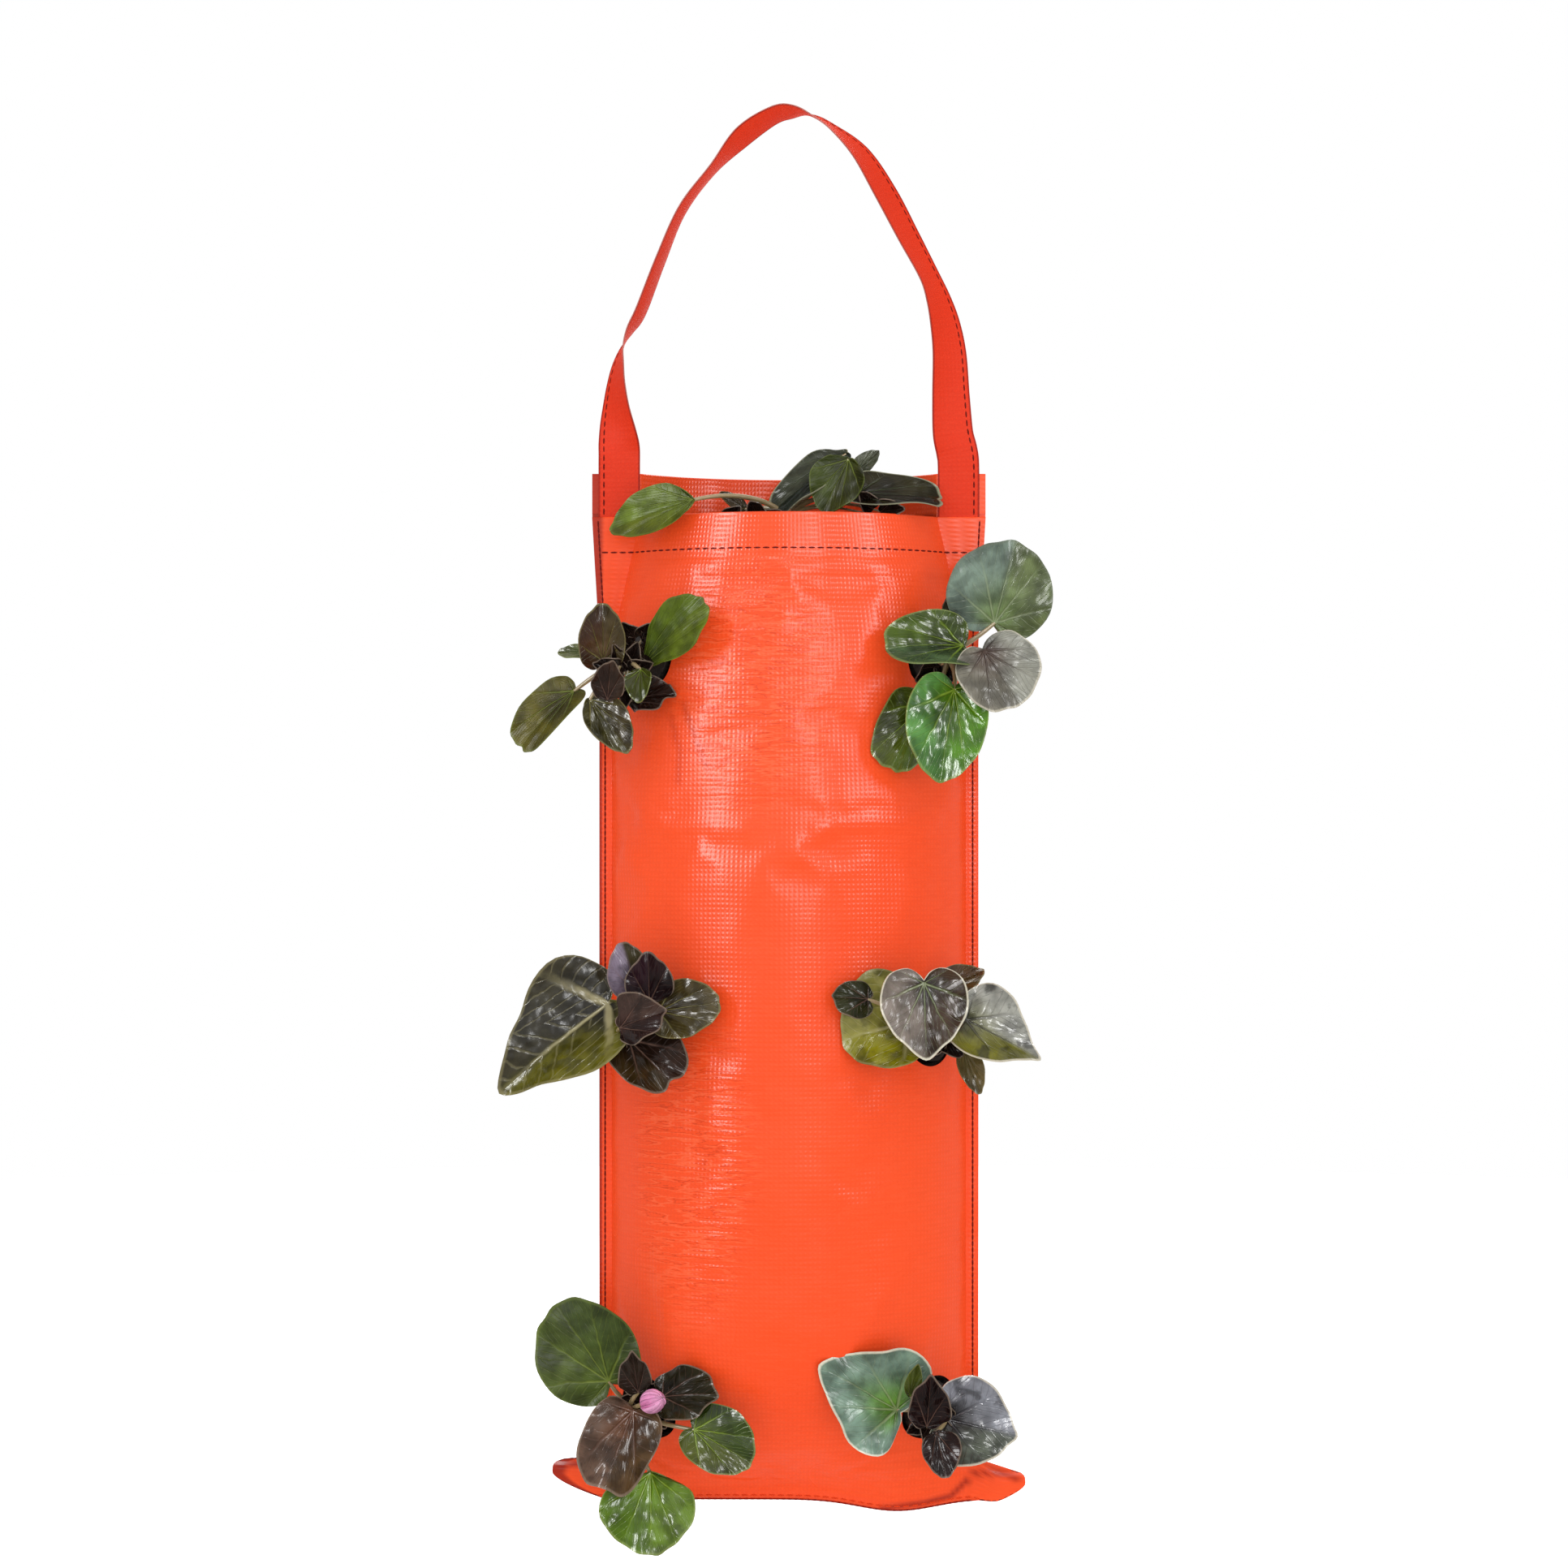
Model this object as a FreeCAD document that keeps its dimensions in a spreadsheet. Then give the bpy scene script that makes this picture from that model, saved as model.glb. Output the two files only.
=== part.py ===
import FreeCAD, Part
import math
import os
import Sketcher
from collections import namedtuple
from FreeCAD import Placement, Rotation, Vector

# Hanging grow bag: two sewn sheet panels, a strap handle, soil and seven plants.
# Frame: millimetres, +Z up, +X to the right of the front, the front faces -Y.
# The origin is where a hook carries the strap.

# Driving dimensions, each in the sheet under its own alias

SIZES = {
    "bag_width": 210.0,        # over the side seams of the filled bag
    "bag_height": 544.0,       # front rim to bottom seam
    "back_rise": 24.0,         # how far the back rim stands above the front rim
    "sheet_thickness": 0.5,
    "mouth_flare": 4.0,        # each side's spread at the mouth, past the seams
    "mouth_bulge": 42.0,       # half depth of the bag at the mouth
    "belly_bulge": 60.0,       # half depth of the filled middle
    "shoulder_drop": 70.0,     # front rim to where the side strips have narrowed
    "belly_drop": 170.0,       # front rim to the full depth
    "bottom_round": 105.0,     # height over which the bottom closes
    "seam_strip": 7.0,         # flat strip outside each seam
    "strip_margin": 0.5,       # flat strip past the strap's inner edge
    "seam_bulge": 0.8,         # half depth inside the flat bottom seam
    "seam_clearance": 0.05,    # between sewn faces
    "hem_depth": 22.0,
    "stitch_inset": 2.5,       # stitch row to the edge that it holds
    "thread_width": 0.8,
    "thread_height": 0.4,
    "thread_clearance": 0.25,  # stitch row to the sheet under it
    "ear_reach": 26.0,         # bottom corner past the side seam
    "ear_root": 23.0,          # heights of the corner's points above the bottom
    "ear_top": 20.0,
    "ear_tip": 15.0,
    "bottom_inset": 4.0,       # bottom edge's end, inside the side seam
    "strap_width": 23.0,
    "strap_thickness": 0.6,
    "strap_inset": 11.0,       # middle of each strap leg inside the bag's side
    "strap_rise": 196.0,       # fold line to the hook
    "fold_height": 4.0,        # fold line above the back rim
    "fold_clearance": 0.95,    # strap end to the loop above it
    "strap_tuck": 6.0,         # strap end below the front hem
    "edge_row_inset": 3.0,     # strap's stitch row to its edge
    "soil_drop": 12.0,         # front rim to the soil
    "soil_clearance": 0.3,     # soil to what lies in it or around it
    "soil_foot": 27.0,         # soil's underside above the bottom seam
    "hole_radius": 18.0,
    "hole_inset": 27.0,        # planting holes inside the bag's side
    "first_row_drop": 78.0,    # front rim to the first row of holes
    "last_row_rise": 54.0,     # bottom seam to the last row of holes
    "plug_radius": 16.0,
    "plug_end_radius": 13.0,
    "plug_length": 24.0,
    "plug_proud": 2.0,         # root plug's face outside the sheet
    "crown_radius": 5.0,
    "crown_end_radius": 3.5,
    "crown_length": 12.0,
    "stalk_foot_radius": 1.7,  # leaf stalks where they leave the crown
    "stalk_radius": 1.1,       # and where they meet the blade
    "stalk_overlap": 1.5,      # leaf stalk's run into the blade
    "leaf_thickness": 0.8,
    "plant_spread": 100.0,     # a plant's real size for 100 units of its leaf table
    "mouth_plant_back": 5.0,   # mouth plant behind the bag's middle
    "bud_radius": 6.5,
}

# The strap loop's route: share of the leg's offset, share of the rise, twist in degrees.
# The twist counts little in the route's curve, so that its places set its pace.
# Its edge row of stitches leaves the sections at both folds bare.

STRAP_ROUTE = [
    (-1.000, 0.000, 0),
    (-1.000, 0.045, 1),
    (-1.006, 0.095, 24),
    (-1.013, 0.163, 47),
    (-1.011, 0.234, 62),
    (-0.998, 0.291, 72),
    (-0.975, 0.340, 84),
    (-0.930, 0.385, 95),
    (-0.864, 0.440, 101),
    (-0.749, 0.583, 102),
    (-0.621, 0.725, 101),
    (-0.441, 0.840, 102),
    (-0.270, 0.931, 106),
    (-0.088, 0.990, 106),
    (0.020, 1.000, 98),
    (0.132, 0.992, 78),
    (0.254, 0.957, 68),
    (0.418, 0.885, 60),
    (0.564, 0.773, 53),
    (0.696, 0.653, 54),
    (0.820, 0.540, 57),
    (0.875, 0.475, 51),
    (0.915, 0.405, 42),
    (0.942, 0.320, 34),
    (0.952, 0.200, 24),
    (0.965, 0.100, 12),
    (0.990, 0.045, 1),
    (1.000, 0.000, 0),
]
TWIST_UNIT = 1000.0
STRAP_SECTIONS = 90
BARE_SECTIONS = 3


# Leaf outlines: share of the length, share of the half width

ROUND_LEAF = [(0.0, 0.45), (0.15, 0.82), (0.4, 1.0), (0.62, 0.94), (0.85, 0.62), (1.0, 0.12)]
OVATE_LEAF = [(0.0, 0.14), (0.18, 0.64), (0.4, 1.0), (0.65, 0.86), (0.87, 0.42), (1.0, 0.06)]

# One leaf: blade's base and tip from the plant's hole and its width, in units of a hundredth of the
# plant's spread, the way its face looks, outline, rise of its edges as a share of the half width

Leaf = namedtuple("Leaf", "base tip width face outline cup")
Plant = namedtuple("Plant", "side row leaves")

PLANTS = {
    "upper_left": Plant(-1, 0, [
        Leaf((-2, -14, -6), (29, -42, 28), 31, (-0.4, -0.9, 0.2), ROUND_LEAF, 0.25),
        Leaf((-23, -18, -3), (-22, -32, 26), 25, (0.1, -0.9, 0.3), ROUND_LEAF, 0.2),
        Leaf((-39, -8, -19), (-70, -16, -47), 26, (-0.3, -0.8, 0.5), ROUND_LEAF, 0.2),
        Leaf((-33, 2, 2), (-49, 6, 4), 12, (-0.2, -0.6, 0.8), ROUND_LEAF, 0.1),
        Leaf((-30, -20, -24), (-8, -32, -52), 22, (0.0, -0.9, 0.3), OVATE_LEAF, 0.2),
        Leaf((-8, -12, -25), (15, -20, -18), 23, (0.0, -0.8, 0.6), OVATE_LEAF, 0.15),
        Leaf((-2, -26, -8), (-3, -38, -25), 15, (-0.2, -0.8, 0.5), OVATE_LEAF, 0.4),
        Leaf((-20, -28, -24), (-18, -40, -4), 18, (0.0, -0.9, 0.3), OVATE_LEAF, 0.2),
    ]),
    "upper_right": Plant(1, 0, [
        Leaf((34, -12, 18), (45, -22, 61), 56, (0.1, -0.95, 0.2), ROUND_LEAF, 0.2),
        Leaf((27, -36, 2), (46, -44, -27), 45, (0.15, -0.95, 0.25), ROUND_LEAF, 0.15),
        Leaf((16, -24, 5), (-25, -38, 6), 35, (-0.1, -0.85, 0.5), ROUND_LEAF, 0.15),
        Leaf((11, -34, -19), (3, -48, -67), 39, (0.1, -0.9, 0.3), OVATE_LEAF, 0.15),
        Leaf((-3, -24, -26), (-24, -34, -60), 30, (-0.1, -0.95, 0.25), OVATE_LEAF, 0.15),
        Leaf((16, -6, 14), (9, -6, 34), 15, (-0.3, -0.95, 0.1), OVATE_LEAF, 0.2),
    ]),
    "middle_left": Plant(-1, 1, [
        Leaf((-21, -14, 14), (-80, -24, -27), 68, (-0.3, -0.85, 0.4), ROUND_LEAF, 0.25),
        Leaf((-3, -22, 21), (-12, -28, 51), 23, (0.0, -0.95, 0.25), OVATE_LEAF, 0.2),
        Leaf((8, -32, 14), (40, -44, 20), 32, (0.1, -0.95, 0.3), ROUND_LEAF, 0.15),
        Leaf((-8, -28, -2), (15, -40, -23), 37, (0.0, -0.95, 0.3), ROUND_LEAF, 0.15),
        Leaf((3, -34, 19), (3, -42, 46), 24, (0.1, -0.95, 0.2), OVATE_LEAF, 0.2),
        Leaf((-12, -44, 6), (11, -56, 16), 27, (0.0, -0.9, 0.4), OVATE_LEAF, 0.25),
    ]),
    "middle_right": Plant(1, 1, [
        Leaf((-6, -46, 30), (-5, -56, -10), 46, (0.0, -1.0, 0.1), ROUND_LEAF, 0.2),
        Leaf((17, -28, 9), (58, -34, -10), 46, (0.2, -0.9, 0.4), OVATE_LEAF, 0.25),
        Leaf((-13, -28, 8), (-49, -38, 0), 54, (-0.2, -0.9, 0.3), ROUND_LEAF, 0.15),
        Leaf((-36, -40, 21), (-54, -46, 23), 21, (-0.1, -0.9, 0.3), ROUND_LEAF, 0.1),
        Leaf((1, -14, 22), (28, -12, 36), 19, (0.0, -0.8, 0.5), OVATE_LEAF, 0.2),
        Leaf((16, -18, -6), (25, -24, -31), 14, (0.0, -0.95, 0.2), OVATE_LEAF, 0.2),
    ]),
    "lower_left": Plant(-1, 2, [
        Leaf((-20, -22, 21), (-50, -30, 60), 55, (-0.2, -0.95, 0.2), ROUND_LEAF, 0.1),
        Leaf((-6, -36, 4), (-22, -48, -36), 41, (-0.1, -0.9, 0.4), ROUND_LEAF, 0.15),
        Leaf((3, -32, -30), (4, -44, -72), 52, (0.0, -0.9, 0.4), ROUND_LEAF, 0.12),
        Leaf((10, -32, 11), (38, -46, 16), 30, (0.1, -0.9, 0.4), ROUND_LEAF, 0.1),
        Leaf((27, -42, -5), (58, -50, -21), 35, (0.1, -0.95, 0.3), ROUND_LEAF, 0.1),
        Leaf((-3, -40, 15), (-6, -52, 36), 18, (0.0, -0.95, 0.3), OVATE_LEAF, 0.2),
    ]),
    "lower_right": Plant(1, 2, [
        Leaf((-20, -31, 6), (-62, -48, 33), 55, (-0.1, -0.97, 0.15), ROUND_LEAF, 0.15),
        Leaf((8, -28, -2), (45, -36, -9), 49, (0.25, -0.9, 0.3), ROUND_LEAF, 0.15),
        Leaf((-4, -42, -3), (-2, -56, 25), 21, (0.1, -0.95, 0.2), OVATE_LEAF, 0.2),
        Leaf((1, -44, -6), (6, -56, -28), 20, (0.0, -0.9, 0.3), OVATE_LEAF, 0.2),
        Leaf((-13, -46, 14), (-9, -52, 31), 9, (0.0, -0.95, 0.2), OVATE_LEAF, 0.2),
    ]),
}

# The mouth plant's leaves, from the middle of the mouth at the front rim's height

MOUTH_LEAVES = [
    Leaf((-52, -35, 7), (-100, -20, -7), 27, (0.0, -0.9, 0.4), OVATE_LEAF, 0.1),
    Leaf((32, 2, 35), (-15, -4, 2), 26, (-0.4, -0.7, 0.6), OVATE_LEAF, 0.15),
    Leaf((33, -12, 31), (18, -18, 2), 30, (-0.2, -0.95, 0.2), OVATE_LEAF, 0.2),
    Leaf((37, 9, 25), (50, 8, 38), 11, (0.2, -0.8, 0.5), OVATE_LEAF, 0.3),
    Leaf((36, -13, 11), (84, -15, 13), 24, (0.1, -0.7, 0.7), OVATE_LEAF, 0.15),
    Leaf((-24, 8, 5), (-38, 6, 15), 9, (0.0, -0.8, 0.5), OVATE_LEAF, 0.15),
]

# The plant with a flower bud, and the bud's middle from its hole in the same units

BUD_PLANT = "lower_left"
BUD_PLACE = Vector(5, -52, 12)

# Where the stalks leave the crown: share of its length for the first, and the step to the next

FIRST_STALK = 0.3
STALK_STEP = 0.085

# Document and sheet

doc = FreeCAD.newDocument("hanging_grow_bag")
sheet = doc.addObject("Spreadsheet::Sheet", "Sizes")
for line, (alias, value) in enumerate(SIZES.items(), start=1):
    sheet.set(f"A{line}", alias)
    sheet.set(f"B{line}", str(value))
    sheet.setAlias(f"B{line}", alias)
doc.recompute()


def size(alias):
    return float(sheet.get(alias))


# Levels that several pieces share

FOLD_Z = -size("strap_rise")
BACK_RIM_Z = FOLD_Z - size("fold_height")
FRONT_RIM_Z = BACK_RIM_Z - size("back_rise")
BOTTOM_Z = FRONT_RIM_Z - size("bag_height")
SHOULDER_Z = FRONT_RIM_Z - size("shoulder_drop")
BELLY_Z = FRONT_RIM_Z - size("belly_drop")
ROUND_Z = BOTTOM_Z + size("bottom_round")
STRAP_END_Z = FRONT_RIM_Z - size("hem_depth") - size("strap_tuck")
FRONT = -1
BACK = 1
SHEET = size("sheet_thickness")
HALF_STRAP = size("strap_thickness") / 2
STRAP_X = size("bag_width") / 2 - size("strap_inset")
HOLE_X = size("bag_width") / 2 - size("hole_inset")
LAST_ROW = 2
ROW_PITCH = (size("bag_height") - size("first_row_drop") - size("last_row_rise")) / LAST_ROW
LEAF_UNIT = size("plant_spread") / 100

nodes = []


def node(kind, label):
    """A document object that is exported under its label."""
    made = doc.addObject(kind, label)
    made.Label = label
    nodes.append(made)
    return made


def shape_object(label, shape):
    """A helper object that holds a shape made with Part's functions."""
    held = doc.addObject("Part::Feature", label)
    held.Shape = shape
    return held


def between(place, start, end, at_start, at_end):
    """Value at a place on a straight run from start to end, level outside it."""
    share = (place - start) / (end - start)
    share = min(max(share, 0.0), 1.0)
    return at_start + (at_end - at_start) * share


# The bag's cross section at any height

def half_width(z):
    side = size("bag_width") / 2
    above_bottom = z - BOTTOM_Z
    if above_bottom < size("ear_tip"):
        return side + between(above_bottom, size("ear_tip"), 0, size("ear_reach"), -size("bottom_inset"))
    if above_bottom < size("ear_top"):
        return side + size("ear_reach")
    if above_bottom < size("ear_root"):
        return side + between(above_bottom, size("ear_top"), size("ear_root"), size("ear_reach"), 0)
    return between(z, FRONT_RIM_Z, SHOULDER_Z, side + size("mouth_flare"), side)


def strip_width(z):
    """Flat strips hold the whole strap at the mouth and narrow to the seams."""
    mouth_strip = size("mouth_flare") + size("strap_inset") + size("strap_width") / 2 + size("strip_margin")
    return between(z, FRONT_RIM_Z, SHOULDER_Z, mouth_strip, size("seam_strip"))


def bulge(z):
    if z < ROUND_Z:
        closing = between(z, BOTTOM_Z + size("seam_strip"), ROUND_Z, 0, math.pi / 2)
        return size("seam_bulge") + (size("belly_bulge") - size("seam_bulge")) * math.sin(closing)
    return between(z, FRONT_RIM_Z, BELLY_Z, size("mouth_bulge"), size("belly_bulge"))


def face_gap(z, rim_z):
    """Inner face of a panel's flat strips to the middle of the bag, and its number of layers."""
    if z >= rim_z - size("hem_depth"):
        return HALF_STRAP + size("seam_clearance"), 2
    if z >= STRAP_END_Z:
        return HALF_STRAP + size("seam_clearance") + SHEET, 1
    return size("seam_clearance"), 1


def arc_radius(z):
    """Radius of the bulge's inner face between the flat strips."""
    chord = half_width(z) - strip_width(z)
    return (chord ** 2 + bulge(z) ** 2) / (2 * bulge(z))


def face_edges(z, side, flat, outward, half):
    """Strip, bulge and strip of a panel's face, outward from its inner face, left to right."""
    radius = arc_radius(z) + outward
    end = math.sqrt(radius ** 2 - (radius - bulge(z)) ** 2)
    flat_y = side * flat
    crown_y = side * (flat + bulge(z))
    left = Vector(-end, flat_y, z)
    right = Vector(end, flat_y, z)
    return [
        Part.makeLine(Vector(-half, flat_y, z), left),
        Part.Arc(left, Vector(0, crown_y, z), right).toShape(),
        Part.makeLine(right, Vector(half, flat_y, z)),
    ]


def band_wire(z, side, flat, inner, outer, half):
    """Closed outline between two faces that lie outward from a panel's inner face."""
    near = face_edges(z, side, flat + inner, inner, half)
    far = face_edges(z, side, flat + outer, outer, half)
    left_end = Part.makeLine(far[0].Vertexes[0].Point, near[0].Vertexes[0].Point)
    right_end = Part.makeLine(near[-1].Vertexes[-1].Point, far[-1].Vertexes[-1].Point)
    return Part.Wire(Part.__sortEdges__(near + far + [left_end, right_end]))


def bulge_point(x, z, side, outward):
    """Point on a panel's bulge and the level direction that it faces."""
    flat, layers = face_gap(z, FRONT_RIM_Z)
    radius = arc_radius(z) + outward
    centre_y = flat + bulge(z) - arc_radius(z)
    rise = math.sqrt(radius ** 2 - x ** 2)
    facing = Vector(x / radius, side * rise / radius, 0)
    return Vector(x, side * (centre_y + rise), z), facing


# Panels

def panel_levels(rim_z):
    hem_z = rim_z - size("hem_depth")
    under_hem = hem_z - SHEET
    under_strap = STRAP_END_Z - SHEET
    levels = [rim_z, hem_z, under_hem, STRAP_END_Z, under_strap, SHOULDER_Z, BELLY_Z, ROUND_Z]
    if rim_z > FRONT_RIM_Z:
        levels.append(FRONT_RIM_Z - SHEET)
    closing_shares = (0.72, 0.5, 0.33)
    levels += [BOTTOM_Z + size("bottom_round") * share for share in closing_shares]
    levels += [BOTTOM_Z + size(alias) for alias in ("ear_root", "ear_top", "ear_tip", "seam_strip")]
    levels.append(BOTTOM_Z)
    return sorted(levels, reverse=True)


def panel_loft(label, side, rim_z):
    outlines = []
    for number, z in enumerate(panel_levels(rim_z)):
        flat, layers = face_gap(z, rim_z)
        wire = band_wire(z, side, flat, 0, layers * SHEET, half_width(z))
        outlines.append(shape_object(f"{label}_level_{number}", wire))
    loft = doc.addObject("Part::Loft", label)
    loft.Sections = outlines
    loft.Solid = True
    loft.Ruled = True
    return loft


def hole_place(plant):
    z = FRONT_RIM_Z - size("first_row_drop") - plant.row * ROW_PITCH
    return bulge_point(plant.side * HOLE_X, z, FRONT, SHEET)


def along(start, facing):
    return Placement(start, Rotation(Vector(0, 0, 1), facing))


def hole_cutter(name, plant):
    place, facing = hole_place(plant)
    cutter = doc.addObject("Part::Cylinder", f"{name}_hole")
    cutter.setExpression("Radius", "Sizes.hole_radius")
    cutter.setExpression("Height", "2 * Sizes.hole_radius")
    cutter.Placement = along(place - facing * size("hole_radius"), facing)
    return cutter


cutters = doc.addObject("Part::MultiFuse", "planting_holes")
cutters.Shapes = [hole_cutter(name, plant) for name, plant in PLANTS.items()]

front_panel = node("Part::Cut", "front_panel")
front_panel.Base = panel_loft("front_sheet", FRONT, FRONT_RIM_Z)
front_panel.Tool = cutters

back_panel = panel_loft("back_panel", BACK, BACK_RIM_Z)
nodes.append(back_panel)


# Stitch rows

def level_row(label, side, edge_z, rim_z):
    """Stitch row across a panel, a little above the edge that it holds."""
    z = edge_z + size("stitch_inset")
    flat, layers = face_gap(z, rim_z)
    inner = layers * SHEET + size("thread_clearance")
    half = half_width(z) - size("stitch_inset") / 2
    outline = band_wire(z, side, flat, inner, inner + size("thread_height"), half)
    row = node("Part::Extrusion", label)
    row.Base = shape_object(f"{label}_outline", Part.Face(outline))
    row.DirMode = "Custom"
    row.Dir = Vector(0, 0, 1)
    row.setExpression("LengthFwd", "Sizes.thread_width")
    row.Solid = True


def rectangle(centre, across, up):
    corners = [centre - across - up, centre + across - up, centre + across + up, centre - across + up]
    return Part.makePolygon(corners + corners[:1])


def side_row(label, side):
    """Stitch row down a side seam, on the front face of its flat strips."""
    inset = size("stitch_inset")
    hem_row_z = FRONT_RIM_Z - size("hem_depth") + inset
    levels = [hem_row_z - size("thread_width"), FRONT_RIM_Z - size("hem_depth") - SHEET, STRAP_END_Z]
    levels += [STRAP_END_Z - SHEET, SHOULDER_Z, BOTTOM_Z + size("ear_root")]
    outlines = []
    for number, z in enumerate(levels):
        flat, layers = face_gap(z, FRONT_RIM_Z)
        face_y = -(flat + layers * SHEET + size("thread_clearance") + size("thread_height") / 2)
        centre = Vector(side * (half_width(z) - inset), face_y, z)
        across = Vector(size("thread_width") / 2, 0, 0)
        wire = rectangle(centre, across, Vector(0, size("thread_height") / 2, 0))
        outlines.append(shape_object(f"{label}_level_{number}", wire))
    row = node("Part::Loft", label)
    row.Sections = outlines
    row.Solid = True
    row.Ruled = True


level_row("front_hem_thread", FRONT, FRONT_RIM_Z - size("hem_depth"), FRONT_RIM_Z)
level_row("back_hem_thread", BACK, BACK_RIM_Z - size("hem_depth"), BACK_RIM_Z)
level_row("bottom_seam_thread", FRONT, BOTTOM_Z, FRONT_RIM_Z)
side_row("left_seam_thread", -1)
side_row("right_seam_thread", 1)


# Strap: two sewn-in ends and the free loop

def strap_end(label, side):
    body = node("PartDesign::Body", label)
    sketch = body.newObject("Sketcher::SketchObject", f"{label}_outline")
    plane = next(part for part in body.Origin.OriginFeatures if part.Role == "XZ_Plane")
    sketch.AttachmentSupport = [(plane, "")]
    sketch.MapMode = "FlatFace"
    half = size("strap_width") / 2
    tall = FOLD_Z - size("fold_clearance") - STRAP_END_Z
    corners = [Vector(-half, 0, 0), Vector(half, 0, 0), Vector(half, tall, 0), Vector(-half, tall, 0)]
    for first in range(4):
        sketch.addGeometry(Part.LineSegment(corners[first], corners[(first + 1) % 4]), False)
    for first in range(4):
        sketch.addConstraint(Sketcher.Constraint("Coincident", first, 2, (first + 1) % 4, 1))
    for level in (0, 2):
        sketch.addConstraint(Sketcher.Constraint("Horizontal", level))
    for upright in (1, 3):
        sketch.addConstraint(Sketcher.Constraint("Vertical", upright))
    sketch.addConstraint(Sketcher.Constraint("Symmetric", 0, 1, 0, 2, -1, 1))
    wide = sketch.addConstraint(Sketcher.Constraint("DistanceX", 0, 1, 0, 2, 2 * half))
    high = sketch.addConstraint(Sketcher.Constraint("DistanceY", 1, 1, 1, 2, tall))
    sketch.setExpression(f"Constraints[{wide}]", "Sizes.strap_width")
    length = "Sizes.fold_height + Sizes.back_rise + Sizes.hem_depth + Sizes.strap_tuck - Sizes.fold_clearance"
    sketch.setExpression(f"Constraints[{high}]", length)
    pad = body.newObject("PartDesign::Pad", f"{label}_strip")
    pad.Profile = sketch
    pad.SideType = "Symmetric"
    pad.setExpression("Length", "Sizes.strap_thickness")
    body.Placement = Placement(Vector(side * STRAP_X, 0, STRAP_END_Z), Rotation())


def strap_frames():
    """Middle, width direction and face direction of the loop, from the left leg to the right."""
    route = Part.BSplineCurve()
    route.interpolate([Vector(across, twist / TWIST_UNIT, up) for across, up, twist in STRAP_ROUTE])
    frames = []
    for step in range(STRAP_SECTIONS + 1):
        share = step / STRAP_SECTIONS
        parameter = route.FirstParameter + share * (route.LastParameter - route.FirstParameter)
        station = route.value(parameter)
        middle = Vector(station.x * STRAP_X, 0, FOLD_Z + station.z * size("strap_rise"))
        slope = route.tangent(parameter)[0]
        run = Vector(slope.x * STRAP_X, 0, slope.z * size("strap_rise")).normalize()
        if step in (0, STRAP_SECTIONS):
            run = Vector(0, 0, 1 if step == 0 else -1)
        outward = run.cross(Vector(0, 1, 0))
        twist = math.radians(station.y * TWIST_UNIT)
        wide = outward * math.cos(twist) + Vector(0, 1, 0) * math.sin(twist)
        frames.append((middle, wide, run.cross(wide)))
    return frames


def strap_loft(label, frames, side_shift, half_wide, face_shift, half_thick):
    """A strip along the loop, moved from its middle line by the two shifts."""
    outlines = []
    for number, (middle, wide, face) in enumerate(frames):
        centre = middle + wide * side_shift + face * face_shift
        wire = rectangle(centre, wide * half_wide, face * half_thick)
        outlines.append(shape_object(f"{label}_section_{number}", wire))
    strip = node("Part::Loft", label)
    strip.Sections = outlines
    strip.Solid = True
    strip.Ruled = True


frames = strap_frames()
strap_end("left_strap_end", -1)
strap_end("right_strap_end", 1)
strap_loft("strap_loop", frames, 0, size("strap_width") / 2, 0, HALF_STRAP)
edge_row = size("strap_width") / 2 - size("edge_row_inset")
half_thread = size("thread_height") / 2
row_height = HALF_STRAP + size("thread_clearance") + half_thread
sewn_frames = frames[BARE_SECTIONS:-BARE_SECTIONS]
strap_loft("strap_edge_thread", sewn_frames, edge_row, size("thread_width") / 2, row_height, half_thread)


# Plants

def root_plug(label, place, facing):
    plug = node("Part::Cone", label)
    plug.setExpression("Radius1", "Sizes.plug_end_radius")
    plug.setExpression("Radius2", "Sizes.plug_radius")
    plug.setExpression("Height", "Sizes.plug_length")
    plug.Placement = along(place + facing * (size("plug_proud") - size("plug_length")), facing)


def plug_hollow(label, place, facing):
    """The root plug's place in the soil, with clearance round it."""
    hollow = doc.addObject("Part::Cone", label)
    hollow.setExpression("Radius1", "Sizes.plug_end_radius + Sizes.soil_clearance")
    hollow.setExpression("Radius2", "Sizes.plug_radius + Sizes.soil_clearance")
    hollow.setExpression("Height", "Sizes.plug_length + Sizes.soil_clearance")
    depth = size("plug_proud") - size("plug_length") - size("soil_clearance")
    hollow.Placement = along(place + facing * depth, facing)
    return hollow


def leaf_frame(leaf, origin):
    base = origin + Vector(*leaf.base) * LEAF_UNIT
    run = (Vector(*leaf.tip) - Vector(*leaf.base)) * LEAF_UNIT
    length = run.Length
    run.normalize()
    face = Vector(*leaf.face)
    face = (face - run * face.dot(run)).normalize()
    return base, run, length, face, run.cross(face)


def leaf_blade(leaf, origin):
    base, run, length, face, across = leaf_frame(leaf, origin)
    thick = face * size("leaf_thickness")
    outlines = []
    for share, width_share in leaf.outline:
        half = leaf.width * LEAF_UNIT / 2 * width_share
        middle = base + run * (length * share)
        left = middle - across * half + face * (half * leaf.cup)
        right = middle + across * half + face * (half * leaf.cup)
        under = Part.Arc(left, middle, right).toShape()
        over = Part.Arc(left + thick, middle + thick, right + thick).toShape()
        ends = [Part.makeLine(right, right + thick), Part.makeLine(left + thick, left)]
        outlines.append(Part.Wire(Part.__sortEdges__([under, over] + ends)))
    return Part.makeLoft(outlines, True, False)


def leaf_group(label, leaves, origin):
    group = node("Part::Feature", label)
    group.Shape = Part.Compound([leaf_blade(leaf, origin) for leaf in leaves])
    group.Placement = Placement()


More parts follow.
